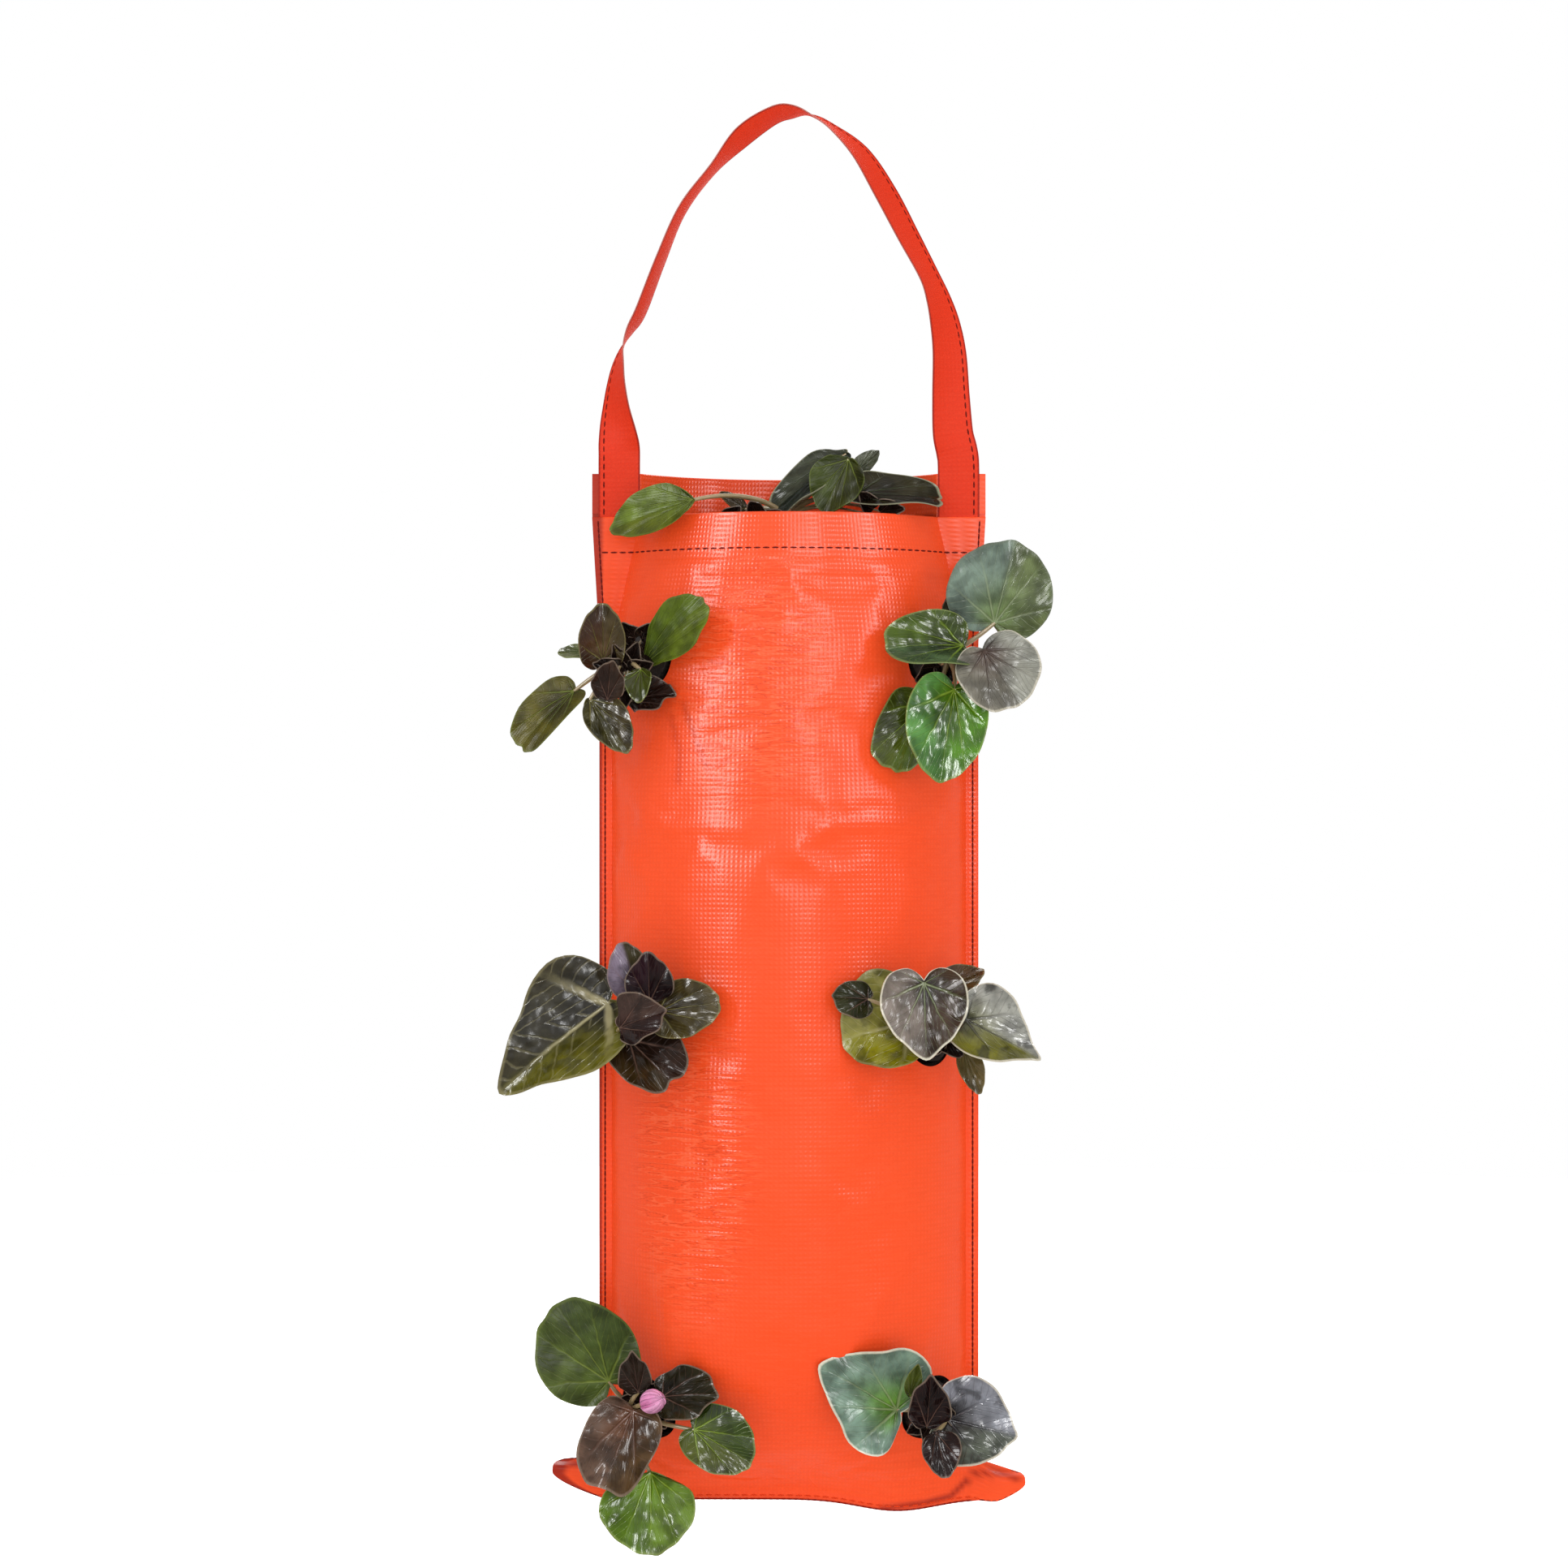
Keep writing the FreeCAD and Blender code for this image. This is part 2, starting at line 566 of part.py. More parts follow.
def stalk_end(leaf, origin):
    """Point inside a leaf's base that its stalk runs to."""
    base, run, length, face, across = leaf_frame(leaf, origin)
    return base + run * size("stalk_overlap") + face * (size("leaf_thickness") / 2)


def stems(label, ends, place, facing):
    """Crown on the root plug's face with a stalk to each end."""
    crown = doc.addObject("Part::Cone", f"{label}_crown")
    crown.setExpression("Radius1", "Sizes.crown_radius")
    crown.setExpression("Radius2", "Sizes.crown_end_radius")
    crown.setExpression("Height", "Sizes.crown_length")
    foot = place + facing * size("plug_proud")
    crown.Placement = along(foot, facing)
    pieces = [crown]
    for number, end in enumerate(ends):
        start = foot + facing * (size("crown_length") * (FIRST_STALK + STALK_STEP * number))
        stalk = doc.addObject("Part::Cone", f"{label}_stalk_{number}")
        stalk.setExpression("Radius1", "Sizes.stalk_foot_radius")
        stalk.setExpression("Radius2", "Sizes.stalk_radius")
        stalk.Height = (end - start).Length
        stalk.Placement = along(start, end - start)
        pieces.append(stalk)
    joined = node("Part::MultiFuse", label)
    joined.Shapes = pieces


soil_hollows = []
for name, plant in PLANTS.items():
    place, facing = hole_place(plant)
    root_plug(f"{name}_root_plug", place, facing)
    soil_hollows.append(plug_hollow(f"{name}_hollow", place, facing))
    ends = [stalk_end(leaf, place) for leaf in plant.leaves]
    if name == BUD_PLANT:
        ends.append(place + BUD_PLACE * LEAF_UNIT)
    stems(f"{name}_stems", ends, place, facing)
    leaf_group(f"{name}_leaves", plant.leaves, place)

upright = Vector(0, 0, 1)
soil_top = FRONT_RIM_Z - size("soil_drop")
mouth_place = Vector(0, size("mouth_plant_back"), soil_top)
mouth_origin = Vector(0, 0, FRONT_RIM_Z)
root_plug("mouth_root_plug", mouth_place, upright)
soil_hollows.append(plug_hollow("mouth_hollow", mouth_place, upright))
stems("mouth_stems", [stalk_end(leaf, mouth_origin) for leaf in MOUTH_LEAVES], mouth_place, upright)
leaf_group("mouth_leaves", MOUTH_LEAVES, mouth_origin)

bud = node("Part::Sphere", "flower_bud")
bud.setExpression("Radius", "Sizes.bud_radius")
bud.Placement = Placement(hole_place(PLANTS[BUD_PLANT])[0] + BUD_PLACE * LEAF_UNIT, Rotation())


# Soil between the panels

def soil_outline(z):
    """Front and back arcs that meet on the bag's middle plane."""
    flat, layers = face_gap(z, FRONT_RIM_Z)
    radius = arc_radius(z) - size("soil_clearance")
    centre = arc_radius(z) - bulge(z) - flat
    end = math.sqrt(radius ** 2 - centre ** 2)
    left = Vector(-end, 0, z)
    right = Vector(end, 0, z)
    front_arc = Part.Arc(left, Vector(0, centre - radius, z), right).toShape()
    back_arc = Part.Arc(right, Vector(0, radius - centre, z), left).toShape()
    return Part.Wire([front_arc, back_arc])


def strap_slot(label, side):
    """Room in the soil for a sewn-in strap end."""
    slot = doc.addObject("Part::Box", label)
    slot.setExpression("Length", "Sizes.strap_width + 2 * Sizes.soil_clearance")
    slot.setExpression("Width", "Sizes.strap_thickness + 2 * Sizes.soil_clearance")
    slot.setExpression("Height", "Sizes.hem_depth + Sizes.strap_tuck + Sizes.soil_clearance")
    half = size("strap_width") / 2 + size("soil_clearance")
    corner = Vector(side * STRAP_X - half, -HALF_STRAP - size("soil_clearance"), STRAP_END_Z)
    slot.Placement = Placement(corner - upright * size("soil_clearance"), Rotation())
    return slot


soil_levels = [z for z in panel_levels(FRONT_RIM_Z) if BOTTOM_Z + size("soil_foot") < z < soil_top]
soil_levels = [soil_top] + soil_levels + [BOTTOM_Z + size("soil_foot")]
soil_fill = doc.addObject("Part::Loft", "soil_fill")
soil_fill.Sections = [shape_object(f"soil_level_{n}", soil_outline(z)) for n, z in enumerate(soil_levels)]
soil_fill.Solid = True
soil_fill.Ruled = True
soil_cuts = doc.addObject("Part::MultiFuse", "soil_cuts")
soil_cuts.Shapes = soil_hollows + [strap_slot("left_slot", -1), strap_slot("right_slot", 1)]
soil = node("Part::Cut", "potting_soil")
soil.Base = soil_fill
soil.Tool = soil_cuts

# Checks and export

doc.recompute()
for made in doc.Objects:
    if "Invalid" in made.State or "Error" in made.State:
        raise RuntimeError(f"{made.Label} failed: {made.State}")
for made in nodes:
    if made.Shape.isNull() or not made.Shape.isValid() or made.Shape.Volume <= 0:
        raise RuntimeError(f"{made.Label} has no valid solid")

os.makedirs("parts", exist_ok=True)
for made in nodes:
    made.Shape.exportStep(f"parts/{made.Label}.step")
    print(made.Label, len(made.Shape.Solids), round(made.Shape.Volume))
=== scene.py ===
# %% [markdown]
# # A hanging grow bag
# This lesson dresses a imported CAD model of a hanging grow bag: two sheets of laminated woven
# tarpaulin sewn into a tall bag, a sewn strap handle, soil, and leafy plants in holes down both sides.
# The CAD model is the fixed frame. Every piece made here, but the strap and its stitches, rides on
# the bag, one of its two bodies.

# %% Load the frame
import math
import random
import bmesh
import bpy
import numpy as np
from collections import namedtuple
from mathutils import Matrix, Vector, noise


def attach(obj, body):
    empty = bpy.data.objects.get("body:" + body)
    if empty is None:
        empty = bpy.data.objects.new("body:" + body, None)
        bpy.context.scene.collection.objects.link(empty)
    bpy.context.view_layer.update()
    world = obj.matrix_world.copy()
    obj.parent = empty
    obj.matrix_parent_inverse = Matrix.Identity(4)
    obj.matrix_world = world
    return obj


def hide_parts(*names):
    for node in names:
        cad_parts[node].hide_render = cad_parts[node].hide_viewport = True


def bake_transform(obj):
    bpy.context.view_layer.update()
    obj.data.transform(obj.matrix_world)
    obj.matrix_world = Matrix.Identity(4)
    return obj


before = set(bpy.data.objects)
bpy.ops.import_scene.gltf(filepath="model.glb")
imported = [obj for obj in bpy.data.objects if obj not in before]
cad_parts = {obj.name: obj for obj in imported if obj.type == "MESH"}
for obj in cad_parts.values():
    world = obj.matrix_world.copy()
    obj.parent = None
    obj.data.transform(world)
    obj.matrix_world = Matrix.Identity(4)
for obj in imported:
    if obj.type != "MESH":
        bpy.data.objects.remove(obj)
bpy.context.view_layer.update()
scene = bpy.context.scene
MM = 0.001

# %% [markdown]
# ## Camera
# The photograph looks straight at the front, level with the middle of the bag, and from far enough
# away that the sides hardly converge. A long lens at two metres gives the same view. The lens length
# follows from the width that the photograph shows in the plane of the strap.

# %% Camera
CAMERA_DISTANCE = 2.0
VIEW_WIDTH = 0.869
VIEW_CENTRE = Vector((-0.0027, 0, -0.3717))
SENSOR_MM = 36
eye = VIEW_CENTRE - Vector((0, CAMERA_DISTANCE, 0))
bpy.ops.object.camera_add(location=eye, rotation=(math.pi / 2, 0, 0))
camera = bpy.context.object
camera.data.sensor_width = SENSOR_MM
camera.data.lens = SENSOR_MM * CAMERA_DISTANCE / VIEW_WIDTH
scene.camera = camera
print("lens", round(camera.data.lens, 1), "mm")


# %% [markdown]
# ## Colours and nodes
# Colours are written as the hex values that a picture program shows. Blender mixes light in linear
# values, so one function turns the one into the other. A second small function adds a shader node
# with its settings and links, so that each material below reads as a list of its layers.

# %% Colour and node helpers
def linear(hex_colour):
    """Linear red, green, blue and alpha of an sRGB hex colour."""
    channels = [int(hex_colour[start:start + 2], 16) / 255 for start in (1, 3, 5)]
    return [c / 12.92 if c <= 0.04045 else ((c + 0.055) / 1.055) ** 2.4 for c in channels] + [1]


def add_node(tree, kind, links=None, **settings):
    """Adds a node, sets its properties, and fills its sockets with values or other nodes' outputs."""
    made = tree.nodes.new(kind)
    for name, value in settings.items():
        setattr(made, name, value)
    for socket, value in (links or {}).items():
        if isinstance(value, bpy.types.NodeSocket):
            tree.links.new(value, made.inputs[socket])
        else:
            made.inputs[socket].default_value = value
    return made


def new_material(name):
    """An empty node material, with its tree and its shader."""
    material = bpy.data.materials.new(name)
    material.use_nodes = True
    return material, material.node_tree, material.node_tree.nodes["Principled BSDF"]


# %% [markdown]
# ## Light and floor
# A product photograph like this one is lit by large soft boxes and cut out on white. The world is
# white where the camera or a gloss looks at it and a plain grey as light. Narrow boxes give the
# upright bands of sheen on the filled front. They only show in gloss, so they cast no shadow of a
# leaf. Broad boxes light the bag evenly: two near the camera, one above and one behind. The floor lies
# under the hanging bag, shows white to the camera and keeps the shadow.

# %% World
SKY_LIGHT = 0.80
world = bpy.data.worlds.new("studio")
scene.world = world
world.use_nodes = True
sky = world.node_tree
sky.nodes.clear()
path = add_node(sky, "ShaderNodeLightPath")
seen = 0.0
for ray in ("Is Camera Ray", "Is Glossy Ray", "Is Transmission Ray"):
    seen = add_node(sky, "ShaderNodeMath", {0: path.outputs[ray], 1: seen}, operation="MAXIMUM").outputs[0]
strength = add_node(sky, "ShaderNodeMapRange", {"Value": seen, "To Min": SKY_LIGHT, "To Max": 1.0})
background = add_node(sky, "ShaderNodeBackground", {"Color": (1, 1, 1, 1), "Strength": strength.outputs[0]})
add_node(sky, "ShaderNodeOutputWorld", {"Surface": background.outputs[0]})
scene.view_settings.view_transform = "Standard"
print("world light", SKY_LIGHT)


# %% Soft boxes
def soft_box(name, place, watts, wide, high, sheen_only=False):
    """A soft box that faces the middle of the bag. A sheen box only shows in glossy surfaces."""
    turn = (VIEW_CENTRE - Vector(place)).to_track_quat("-Z", "Y").to_euler()
    bpy.ops.object.light_add(type="AREA", location=place, rotation=turn)
    lamp = bpy.context.object
    lamp.name = name
    lamp.data.energy = watts
    lamp.data.shape = "RECTANGLE"
    lamp.data.size = wide
    lamp.data.size_y = high
    lamp.visible_diffuse = not sheen_only


soft_box("left_strip", (-1.55, -1.6, 0.25), 95, 0.34, 1.1, sheen_only=True)
soft_box("right_strip", (1.7, -1.5, 0.35), 55, 0.22, 0.9, sheen_only=True)
soft_box("front_strip", (0.52, -2.2, 0.3), 42, 0.20, 1.0, sheen_only=True)
soft_box("high_panel", (-0.3, -1.5, 1.25), 40, 0.9, 0.35, sheen_only=True)
soft_box("left_box", (-0.4, -2.6, 0.0), 12, 1.8, 1.8)
soft_box("right_box", (0.8, -2.5, -0.2), 9, 1.6, 1.6)
soft_box("top_box", (0.0, -0.6, 1.4), 7, 1.2, 1.2)
soft_box("back_box", (0.3, 1.9, 0.3), 14, 1.4, 1.4)
print("soft boxes:", len([lamp for lamp in scene.objects if lamp.type == "LIGHT"]))

# %% Floor
FLOOR_Z = -0.90
FLOOR_RADIUS = 3.0
FLOOR_GLOW = 0.42
bpy.ops.mesh.primitive_circle_add(vertices=96, radius=FLOOR_RADIUS, fill_type="NGON",
                                  location=(0, 0, FLOOR_Z))
floor = bpy.context.object
floor.name = "floor"
bpy.ops.object.transform_apply(location=True)
paper, paper_tree, paper_shader = new_material("white_paper")
paper_shader.inputs["Base Color"].default_value = linear("#F4F4F2")
paper_shader.inputs["Roughness"].default_value = 0.9
paper_shader.inputs["Emission Color"].default_value = linear("#FFFFFF")
floor_path = add_node(paper_tree, "ShaderNodeLightPath")
glow = add_node(paper_tree, "ShaderNodeMath", {0: floor_path.outputs["Is Camera Ray"], 1: FLOOR_GLOW},
                operation="MULTIPLY")
paper_tree.links.new(glow.outputs[0], paper_shader.inputs["Emission Strength"])
floor.data.materials.append(paper)
print("floor at", FLOOR_Z)

# %% [markdown]
# ## Laminated tarpaulin
# The bag is woven polyethylene tape with a clear film melted on both sides, as on a garden tarpaulin.
# That gives a bright, slightly glossy orange with a faint square weave. The film wrinkles in short
# fine lines across the bag, in patches, and the sheet has shallow dents where soil settled behind it.
# Its edges and sharp folds are darkened with painted shade, and its crinkles get a painted highlight on
# their crests and painted shade in their valleys. An image of cloth could be used, but patterns made by
# nodes stay sharp at any distance. They lie on a map in metres that follows the sheet, so they don't
# stretch round it.

# %% Pattern helpers
# Length of one wave in a wave texture of scale 1
WAVE_UNIT = math.tau / 20


def soft_step(tree, value, low, high, at_low, at_high):
    """A soft step in a value, from one level to another."""
    links = {"Value": value, "From Min": low, "From Max": high, "To Min": at_low, "To Max": at_high}
    return add_node(tree, "ShaderNodeMapRange", links, interpolation_type="SMOOTHSTEP").outputs[0]


def combine(tree, operation, *values):
    """One maths node on the given values."""
    return add_node(tree, "ShaderNodeMath", dict(enumerate(values)), operation=operation).outputs[0]


def near_level(tree, value, level, wide):
    """1 where a value is at a level, softly down to 0 where it is further off than the width."""
    off = combine(tree, "ABSOLUTE", combine(tree, "SUBTRACT", value, level))
    return soft_step(tree, off, 0.0, wide, 1.0, 0.0)


def blend_colours(tree, share, first, second):
    """The first colour with a share of the second over it."""
    mix = add_node(tree, "ShaderNodeMix", {"Factor": share, 6: first, 7: second}, data_type="RGBA")
    return mix.outputs[2]


def random_tone(tree, place, scale, detail=2.0, distortion=0.0):
    """A soft random pattern from 0 to 1. The scale is its number of lumps in a metre."""
    links = {"Vector": place, "Scale": scale, "Detail": detail, "Distortion": distortion}
    return add_node(tree, "ShaderNodeTexNoise", links).outputs["Fac"]


def even_waves(tree, place, long, way):
    """Even waves of a length in metres, from 0 to 1."""
    links = {"Vector": place, "Scale": WAVE_UNIT / long}
    return add_node(tree, "ShaderNodeTexWave", links, bands_direction=way).outputs["Fac"]


def relief(tree, height, deep, under=None, invert=False):
    """Bump of a depth in metres, laid over other bump."""
    links = {"Height": height, "Distance": deep}
    if under is not None:
        links["Normal"] = under
    return add_node(tree, "ShaderNodeBump", links, invert=invert).outputs[0]


def finish_surface(tree, shader, colour, bump, rough, gloss):
    """Connects colour and bump to a shader, and sets how rough and how glossy it is."""
    tree.links.new(colour, shader.inputs["Base Color"])
    tree.links.new(bump, shader.inputs["Normal"])
    shader.inputs["Roughness"].default_value = rough
    shader.inputs["Specular IOR Level"].default_value = gloss


# %% Tarpaulin
TAPE_WIDE = 2.6 * MM
TONES_PER_METRE = 6.0
DENTS_PER_METRE = 14.0
CRINKLES_PER_METRE = (42, 300, 1)
# Middle and half size of each crinkled oval, in metres across and down the sheet
CRINKLED = [((0.108, 0.115), (0.060, 0.085)), ((0.072, 0.375), (0.048, 0.105))]
CRINKLED_ELSEWHERE = 0.12


def crinkled_patches(tree, place):
    """How crinkled the film is: soft ovals on the sheet's map, and a trace elsewhere."""
    patches = CRINKLED_ELSEWHERE
    for (across, along), (wide, long) in CRINKLED:
        centred = add_node(tree, "ShaderNodeMapping", {"Vector": place, "Location": (-across, -along, 0)})
        oval_size = (1 / wide, 1 / long, 1)
        oval = add_node(tree, "ShaderNodeMapping", {"Vector": centred.outputs[0], "Scale": oval_size})
        far = add_node(tree, "ShaderNodeVectorMath", {0: oval.outputs[0]}, operation="LENGTH")
        inside = soft_step(tree, far.outputs["Value"], 0.45, 1.1, 1.0, 0.0)
        patches = combine(tree, "MAXIMUM", inside, patches)
    return patches


def tarpaulin(name, light, deep, crease, gloss, rough, half_wide, edge_line):
    """Laminated woven sheet. The real tape of 1.5 mm is drawn wider, so that it shows."""
    material, tree, shader = new_material(name)
    place = add_node(tree, "ShaderNodeUVMap").outputs[0]
    # The film: a slow change of tone, with a painted highlight on the crests and painted shade in the
    # valleys where it is crinkled
    tone = random_tone(tree, place, TONES_PER_METRE, 3.0)
    drawn = add_node(tree, "ShaderNodeMapping", {"Vector": place, "Scale": CRINKLES_PER_METRE}).outputs[0]
    crinkle = random_tone(tree, drawn, 1.0, 3.0)
    patches = crinkled_patches(tree, place)
    colour = blend_colours(tree, tone, linear(deep), linear(light))
    crest_highlight = combine(tree, "MULTIPLY", near_level(tree, crinkle, 0.5, 0.05), patches)
    colour = blend_colours(tree, combine(tree, "MULTIPLY", crest_highlight, 0.30), colour, linear(crease))
    valley_shade = combine(tree, "MULTIPLY", near_level(tree, crinkle, 0.57, 0.022), patches)
    colour = blend_colours(tree, combine(tree, "MULTIPLY", valley_shade, 0.42), colour, linear("#A82C10"))
    # Painted shade along sharp folds and the bottom edge, the gaps of the weave, and painted shade
    # in a dark line along both edges of the sheet
    folds = add_node(tree, "ShaderNodeAttribute", attribute_name="fold_shade").outputs["Fac"]
    colour = blend_colours(tree, combine(tree, "MULTIPLY", folds, 0.9), colour, linear("#8E1608"))
    weave = combine(tree, "MULTIPLY", even_waves(tree, place, TAPE_WIDE, "X"),
                    even_waves(tree, place, TAPE_WIDE, "Y"))
    gaps = soft_step(tree, weave, 0.0, 1.0, 0.06, 0.0)
    colour = blend_colours(tree, gaps, colour, linear("#8E1D0C"))
    # Painted shade: a dark line along both edges of the sheet
    across = add_node(tree, "ShaderNodeSeparateXYZ", {0: place}).outputs[0]
    off_middle = combine(tree, "ABSOLUTE", combine(tree, "SUBTRACT", across, half_wide))
    edge = soft_step(tree, off_middle, half_wide - edge_line, half_wide - edge_line / 2, 0.0, 0.8)
    colour = blend_colours(tree, edge, colour, linear("#8E1A0E"))
    bump = relief(tree, random_tone(tree, place, DENTS_PER_METRE), 3.5 * MM)
    bump = relief(tree, combine(tree, "MULTIPLY", crinkle, patches), 0.8 * MM, bump)
    bump = relief(tree, weave, 0.10 * MM, bump)
    finish_surface(tree, shader, colour, bump, rough, gloss)
    tree.links.new(soft_step(tree, tone, 0.0, 1.0, rough - 0.05, rough + 0.07), shader.inputs["Roughness"])
    return material


# Half the width of each flat sheet, and the width of the line of painted shade at its edges
# The third colour of each sheet is the painted highlight on the crests of the crinkles
bag_sheet = tarpaulin("laminated_tarpaulin", "#FA5627", "#F24B20", "#FF8258", 0.11, 0.26, 131 * MM, 2.0 * MM)
strap_sheet = tarpaulin("laminated_strap", "#E83A1A", "#CE2E12", "#F06A48", 0.05, 0.6, 11.5 * MM, 1.3 * MM)
print("sheets:", bag_sheet.name, strap_sheet.name)

# %% [markdown]
# The strap's edges are cut, and the cut is matt and a little darker than the film. Sewing thread is
# twisted polyester yarn, matt too, whose fine twist only shows as a change of tone. A plain colour would
# do from afar. The waves of the twist cost one node and hold up close by. Three yarns are used: dark red
# on the hems and sides, one matched to the bag along the bottom, and deep red at the very edge.

# %% Cut edge and thread
cut_edge, edge_tree, edge_shader = new_material("cut_tape_edge")
edge_place = add_node(edge_tree, "ShaderNodeTexCoord").outputs["Object"]
edge_tone = random_tone(edge_tree, edge_place, 400.0)
edge_colour = blend_colours(edge_tree, edge_tone, linear("#A8442E"), linear("#8E3422"))
edge_tree.links.new(edge_colour, edge_shader.inputs["Base Color"])
edge_shader.inputs["Roughness"].default_value = 0.7
TWIST_LONG = 0.7 * MM


def yarn(name, deep, light):
    """Twisted polyester sewing thread."""
    material, tree, shader = new_material(name)
    place = add_node(tree, "ShaderNodeTexCoord").outputs["Object"]
    twist = even_waves(tree, place, TWIST_LONG, "DIAGONAL")
    colour = blend_colours(tree, twist, linear(deep), linear(light))
    finish_surface(tree, shader, colour, relief(tree, twist, 0.1 * MM), 0.8, 0.05)
    return material


thread = yarn("dark_polyester_thread", "#520A06", "#781A10")
matched_thread = yarn("matched_polyester_thread", "#D43A16", "#E84A20")
edge_thread = yarn("deep_red_thread", "#7E180C", "#962414")
print("trims:", cut_edge.name, thread.name, matched_thread.name, edge_thread.name)

# %% [markdown]
# ## The bag's form
# A filled bag of two flat sheets swells into a pillow: flat sewn strips at both sides, and between
# them a front and a back that bulge as arcs. The arcs are deepest below the shoulder and close towards
# the bottom seam, whose corners stick out as ears. These are the CAD model's own sizes, in millimetres.

# %% Sizes and section
SIDE = 105.0
MOUTH_FLARE = 4.0
FRONT_RIM = -224.0
BACK_RIM = -200.0
BOTTOM = -768.0
SHOULDER = -294.0
BELLY = -394.0
ROUND = -663.0
STRAP_END = -252.0
SEAM_STRIP = 7.0
MOUTH_STRIP = 27.0
SEAM_BULGE = 0.8
MOUTH_BULGE = 42.0
BELLY_BULGE = 60.0
EAR_REACH = 26.0
EAR_HEIGHT = 23.0
EAR_TIP = 15.0
FRONT = -1
BACK = 1


def between(place, start, end, at_start, at_end):
    """Value at a place on a straight run from start to end, level outside it."""
    share = min(max((place - start) / (end - start), 0.0), 1.0)
    return at_start + (at_end - at_start) * share


def eased(place, start, end):
    """Share from 0 at start to 1 at end that starts and stops softly."""
    share = between(place, start, end, 0.0, 1.0)
    return share * share * (3 - 2 * share)


EAR_BLUNT = 4
EAR_UNDERCUT = 1.15


def ear(z):
    """How far out the corner ear stands at a height, as a share of its reach: blunt above, slanted below."""
    above = z - BOTTOM
    if above >= EAR_HEIGHT:
        return 0.0
    if above >= EAR_TIP:
        return (1 - ((above - EAR_TIP) / (EAR_HEIGHT - EAR_TIP)) ** EAR_BLUNT) ** (1 / EAR_BLUNT)
    return 1 - EAR_UNDERCUT * ((EAR_TIP - above) / EAR_TIP) ** 1.5


def half_width(z):
    """Half the bag's width at a height, with the flare of its mouth and its corner ears."""
    return between(z, FRONT_RIM, SHOULDER, SIDE + MOUTH_FLARE, SIDE) + EAR_REACH * ear(z)


def strip_width(z):
    """Width of the flat sewn strip at each side."""
    if z < BOTTOM + EAR_HEIGHT:
        return SEAM_STRIP + EAR_REACH * max(ear(z), 0.0)
    return between(z, FRONT_RIM, SHOULDER, MOUTH_STRIP, SEAM_STRIP)


def bulge(z):
    """Depth of the filled front, or back, at a height."""
    if z < ROUND:
        closing = between(z, BOTTOM + SEAM_STRIP, ROUND, 0, math.pi / 2)
        return SEAM_BULGE + (BELLY_BULGE - SEAM_BULGE) * math.sin(closing)
    return between(z, FRONT_RIM, BELLY, MOUTH_BULGE, BELLY_BULGE)


LOWEST_LAYER = 0.3
STRAP_STEP = 0.8
STRAP_STEP_RUN = 8.0


def layer(z):
    """Middle of the outer sheet at the flat strips: it steps out over the sewn-in strap."""
    return LOWEST_LAYER + STRAP_STEP * eased(z, STRAP_END - STRAP_STEP_RUN, STRAP_END)


STRIP_COLUMNS = 6
ARC_COLUMNS = 84
COLUMNS = ARC_COLUMNS + 2 * STRIP_COLUMNS
EAR_PUFF = 3.2


def section_point(column, z, inward):
    """Place across and outward depth of a sheet at a column of its grid, set inward from its layer."""
    half = half_width(z)
    chord = half - strip_width(z)
    radius = (chord ** 2 + bulge(z) ** 2) / (2 * bulge(z))
    from_middle = column - COLUMNS / 2
    past_arc = abs(from_middle) - ARC_COLUMNS / 2
    if past_arc >= 0:
        share = past_arc / STRIP_COLUMNS
        puff = EAR_PUFF * max(ear(z), 0.0) * math.sin(math.pi * share)
        across = chord + (half - chord) * share
        return math.copysign(across, from_middle), layer(z) + puff - inward
    angle = math.asin(chord / radius) * from_middle / (ARC_COLUMNS / 2)
    depth = layer(z) + (radius - inward) * math.cos(angle) - (radius - bulge(z))
    return (radius - inward) * math.sin(angle), depth


print("section at the belly:", [round(value, 1) for value in section_point(COLUMNS // 2, BELLY, 0)])

# %% [markdown]
# ## Two sheets
# Each sheet is one grid, bent in two steps. Across, its columns follow the section. Along, its rows
# start at the raw edge inside the hem, go up to the rim, turn over and run down the outside to the
# bottom seam, as the real hem is folded. A filled tube could be squashed instead, but it would have no
# hem and no flat map. The bottom edge isn't level in the photograph: it sags to the right of the middle,
# and the right ear hangs lower than the left one. Painted shade is marked on the points as dark lines
# along a few sharp folds and along the bottom edge.

# %% Sheet grids
HEM = 22.0
HEM_GAP = 0.62
FOLD_ROUND = 0.9


def grid_sheet(name, place, across, along):
    """A grid whose crossings lie where place(column, row) puts them. Its map has these columns and rows."""
    columns = len(across) - 1
    rows = len(along) - 1
    bpy.ops.object.select_all(action="DESELECT")
    bpy.ops.mesh.primitive_grid_add(x_subdivisions=columns, y_subdivisions=rows, size=1, calc_uvs=True)
    sheet = bpy.context.object
    sheet.name = name
    for vertex in sheet.data.vertices:
        column = round((vertex.co.x + 0.5) * columns)
        row = round((vertex.co.y + 0.5) * rows)
        vertex.co = place(column, row)
    for corner in sheet.data.uv_layers.active.data:
        corner.uv = across[round(corner.uv[0] * columns)], along[round(corner.uv[1] * rows)]
    return sheet


def run_lengths(points):
    """Distance of each point along its line, from the first one on."""
    runs = np.linalg.norm(np.diff(np.array(points), axis=0), axis=1)
    return np.concatenate([[0], np.cumsum(runs)])


SAG_DEEP = 6.5
SAG_X = 60.0
SAG_SPREAD = 30.0
SAG_HEIGHT = 40.0
EAR_SAG = 6.5


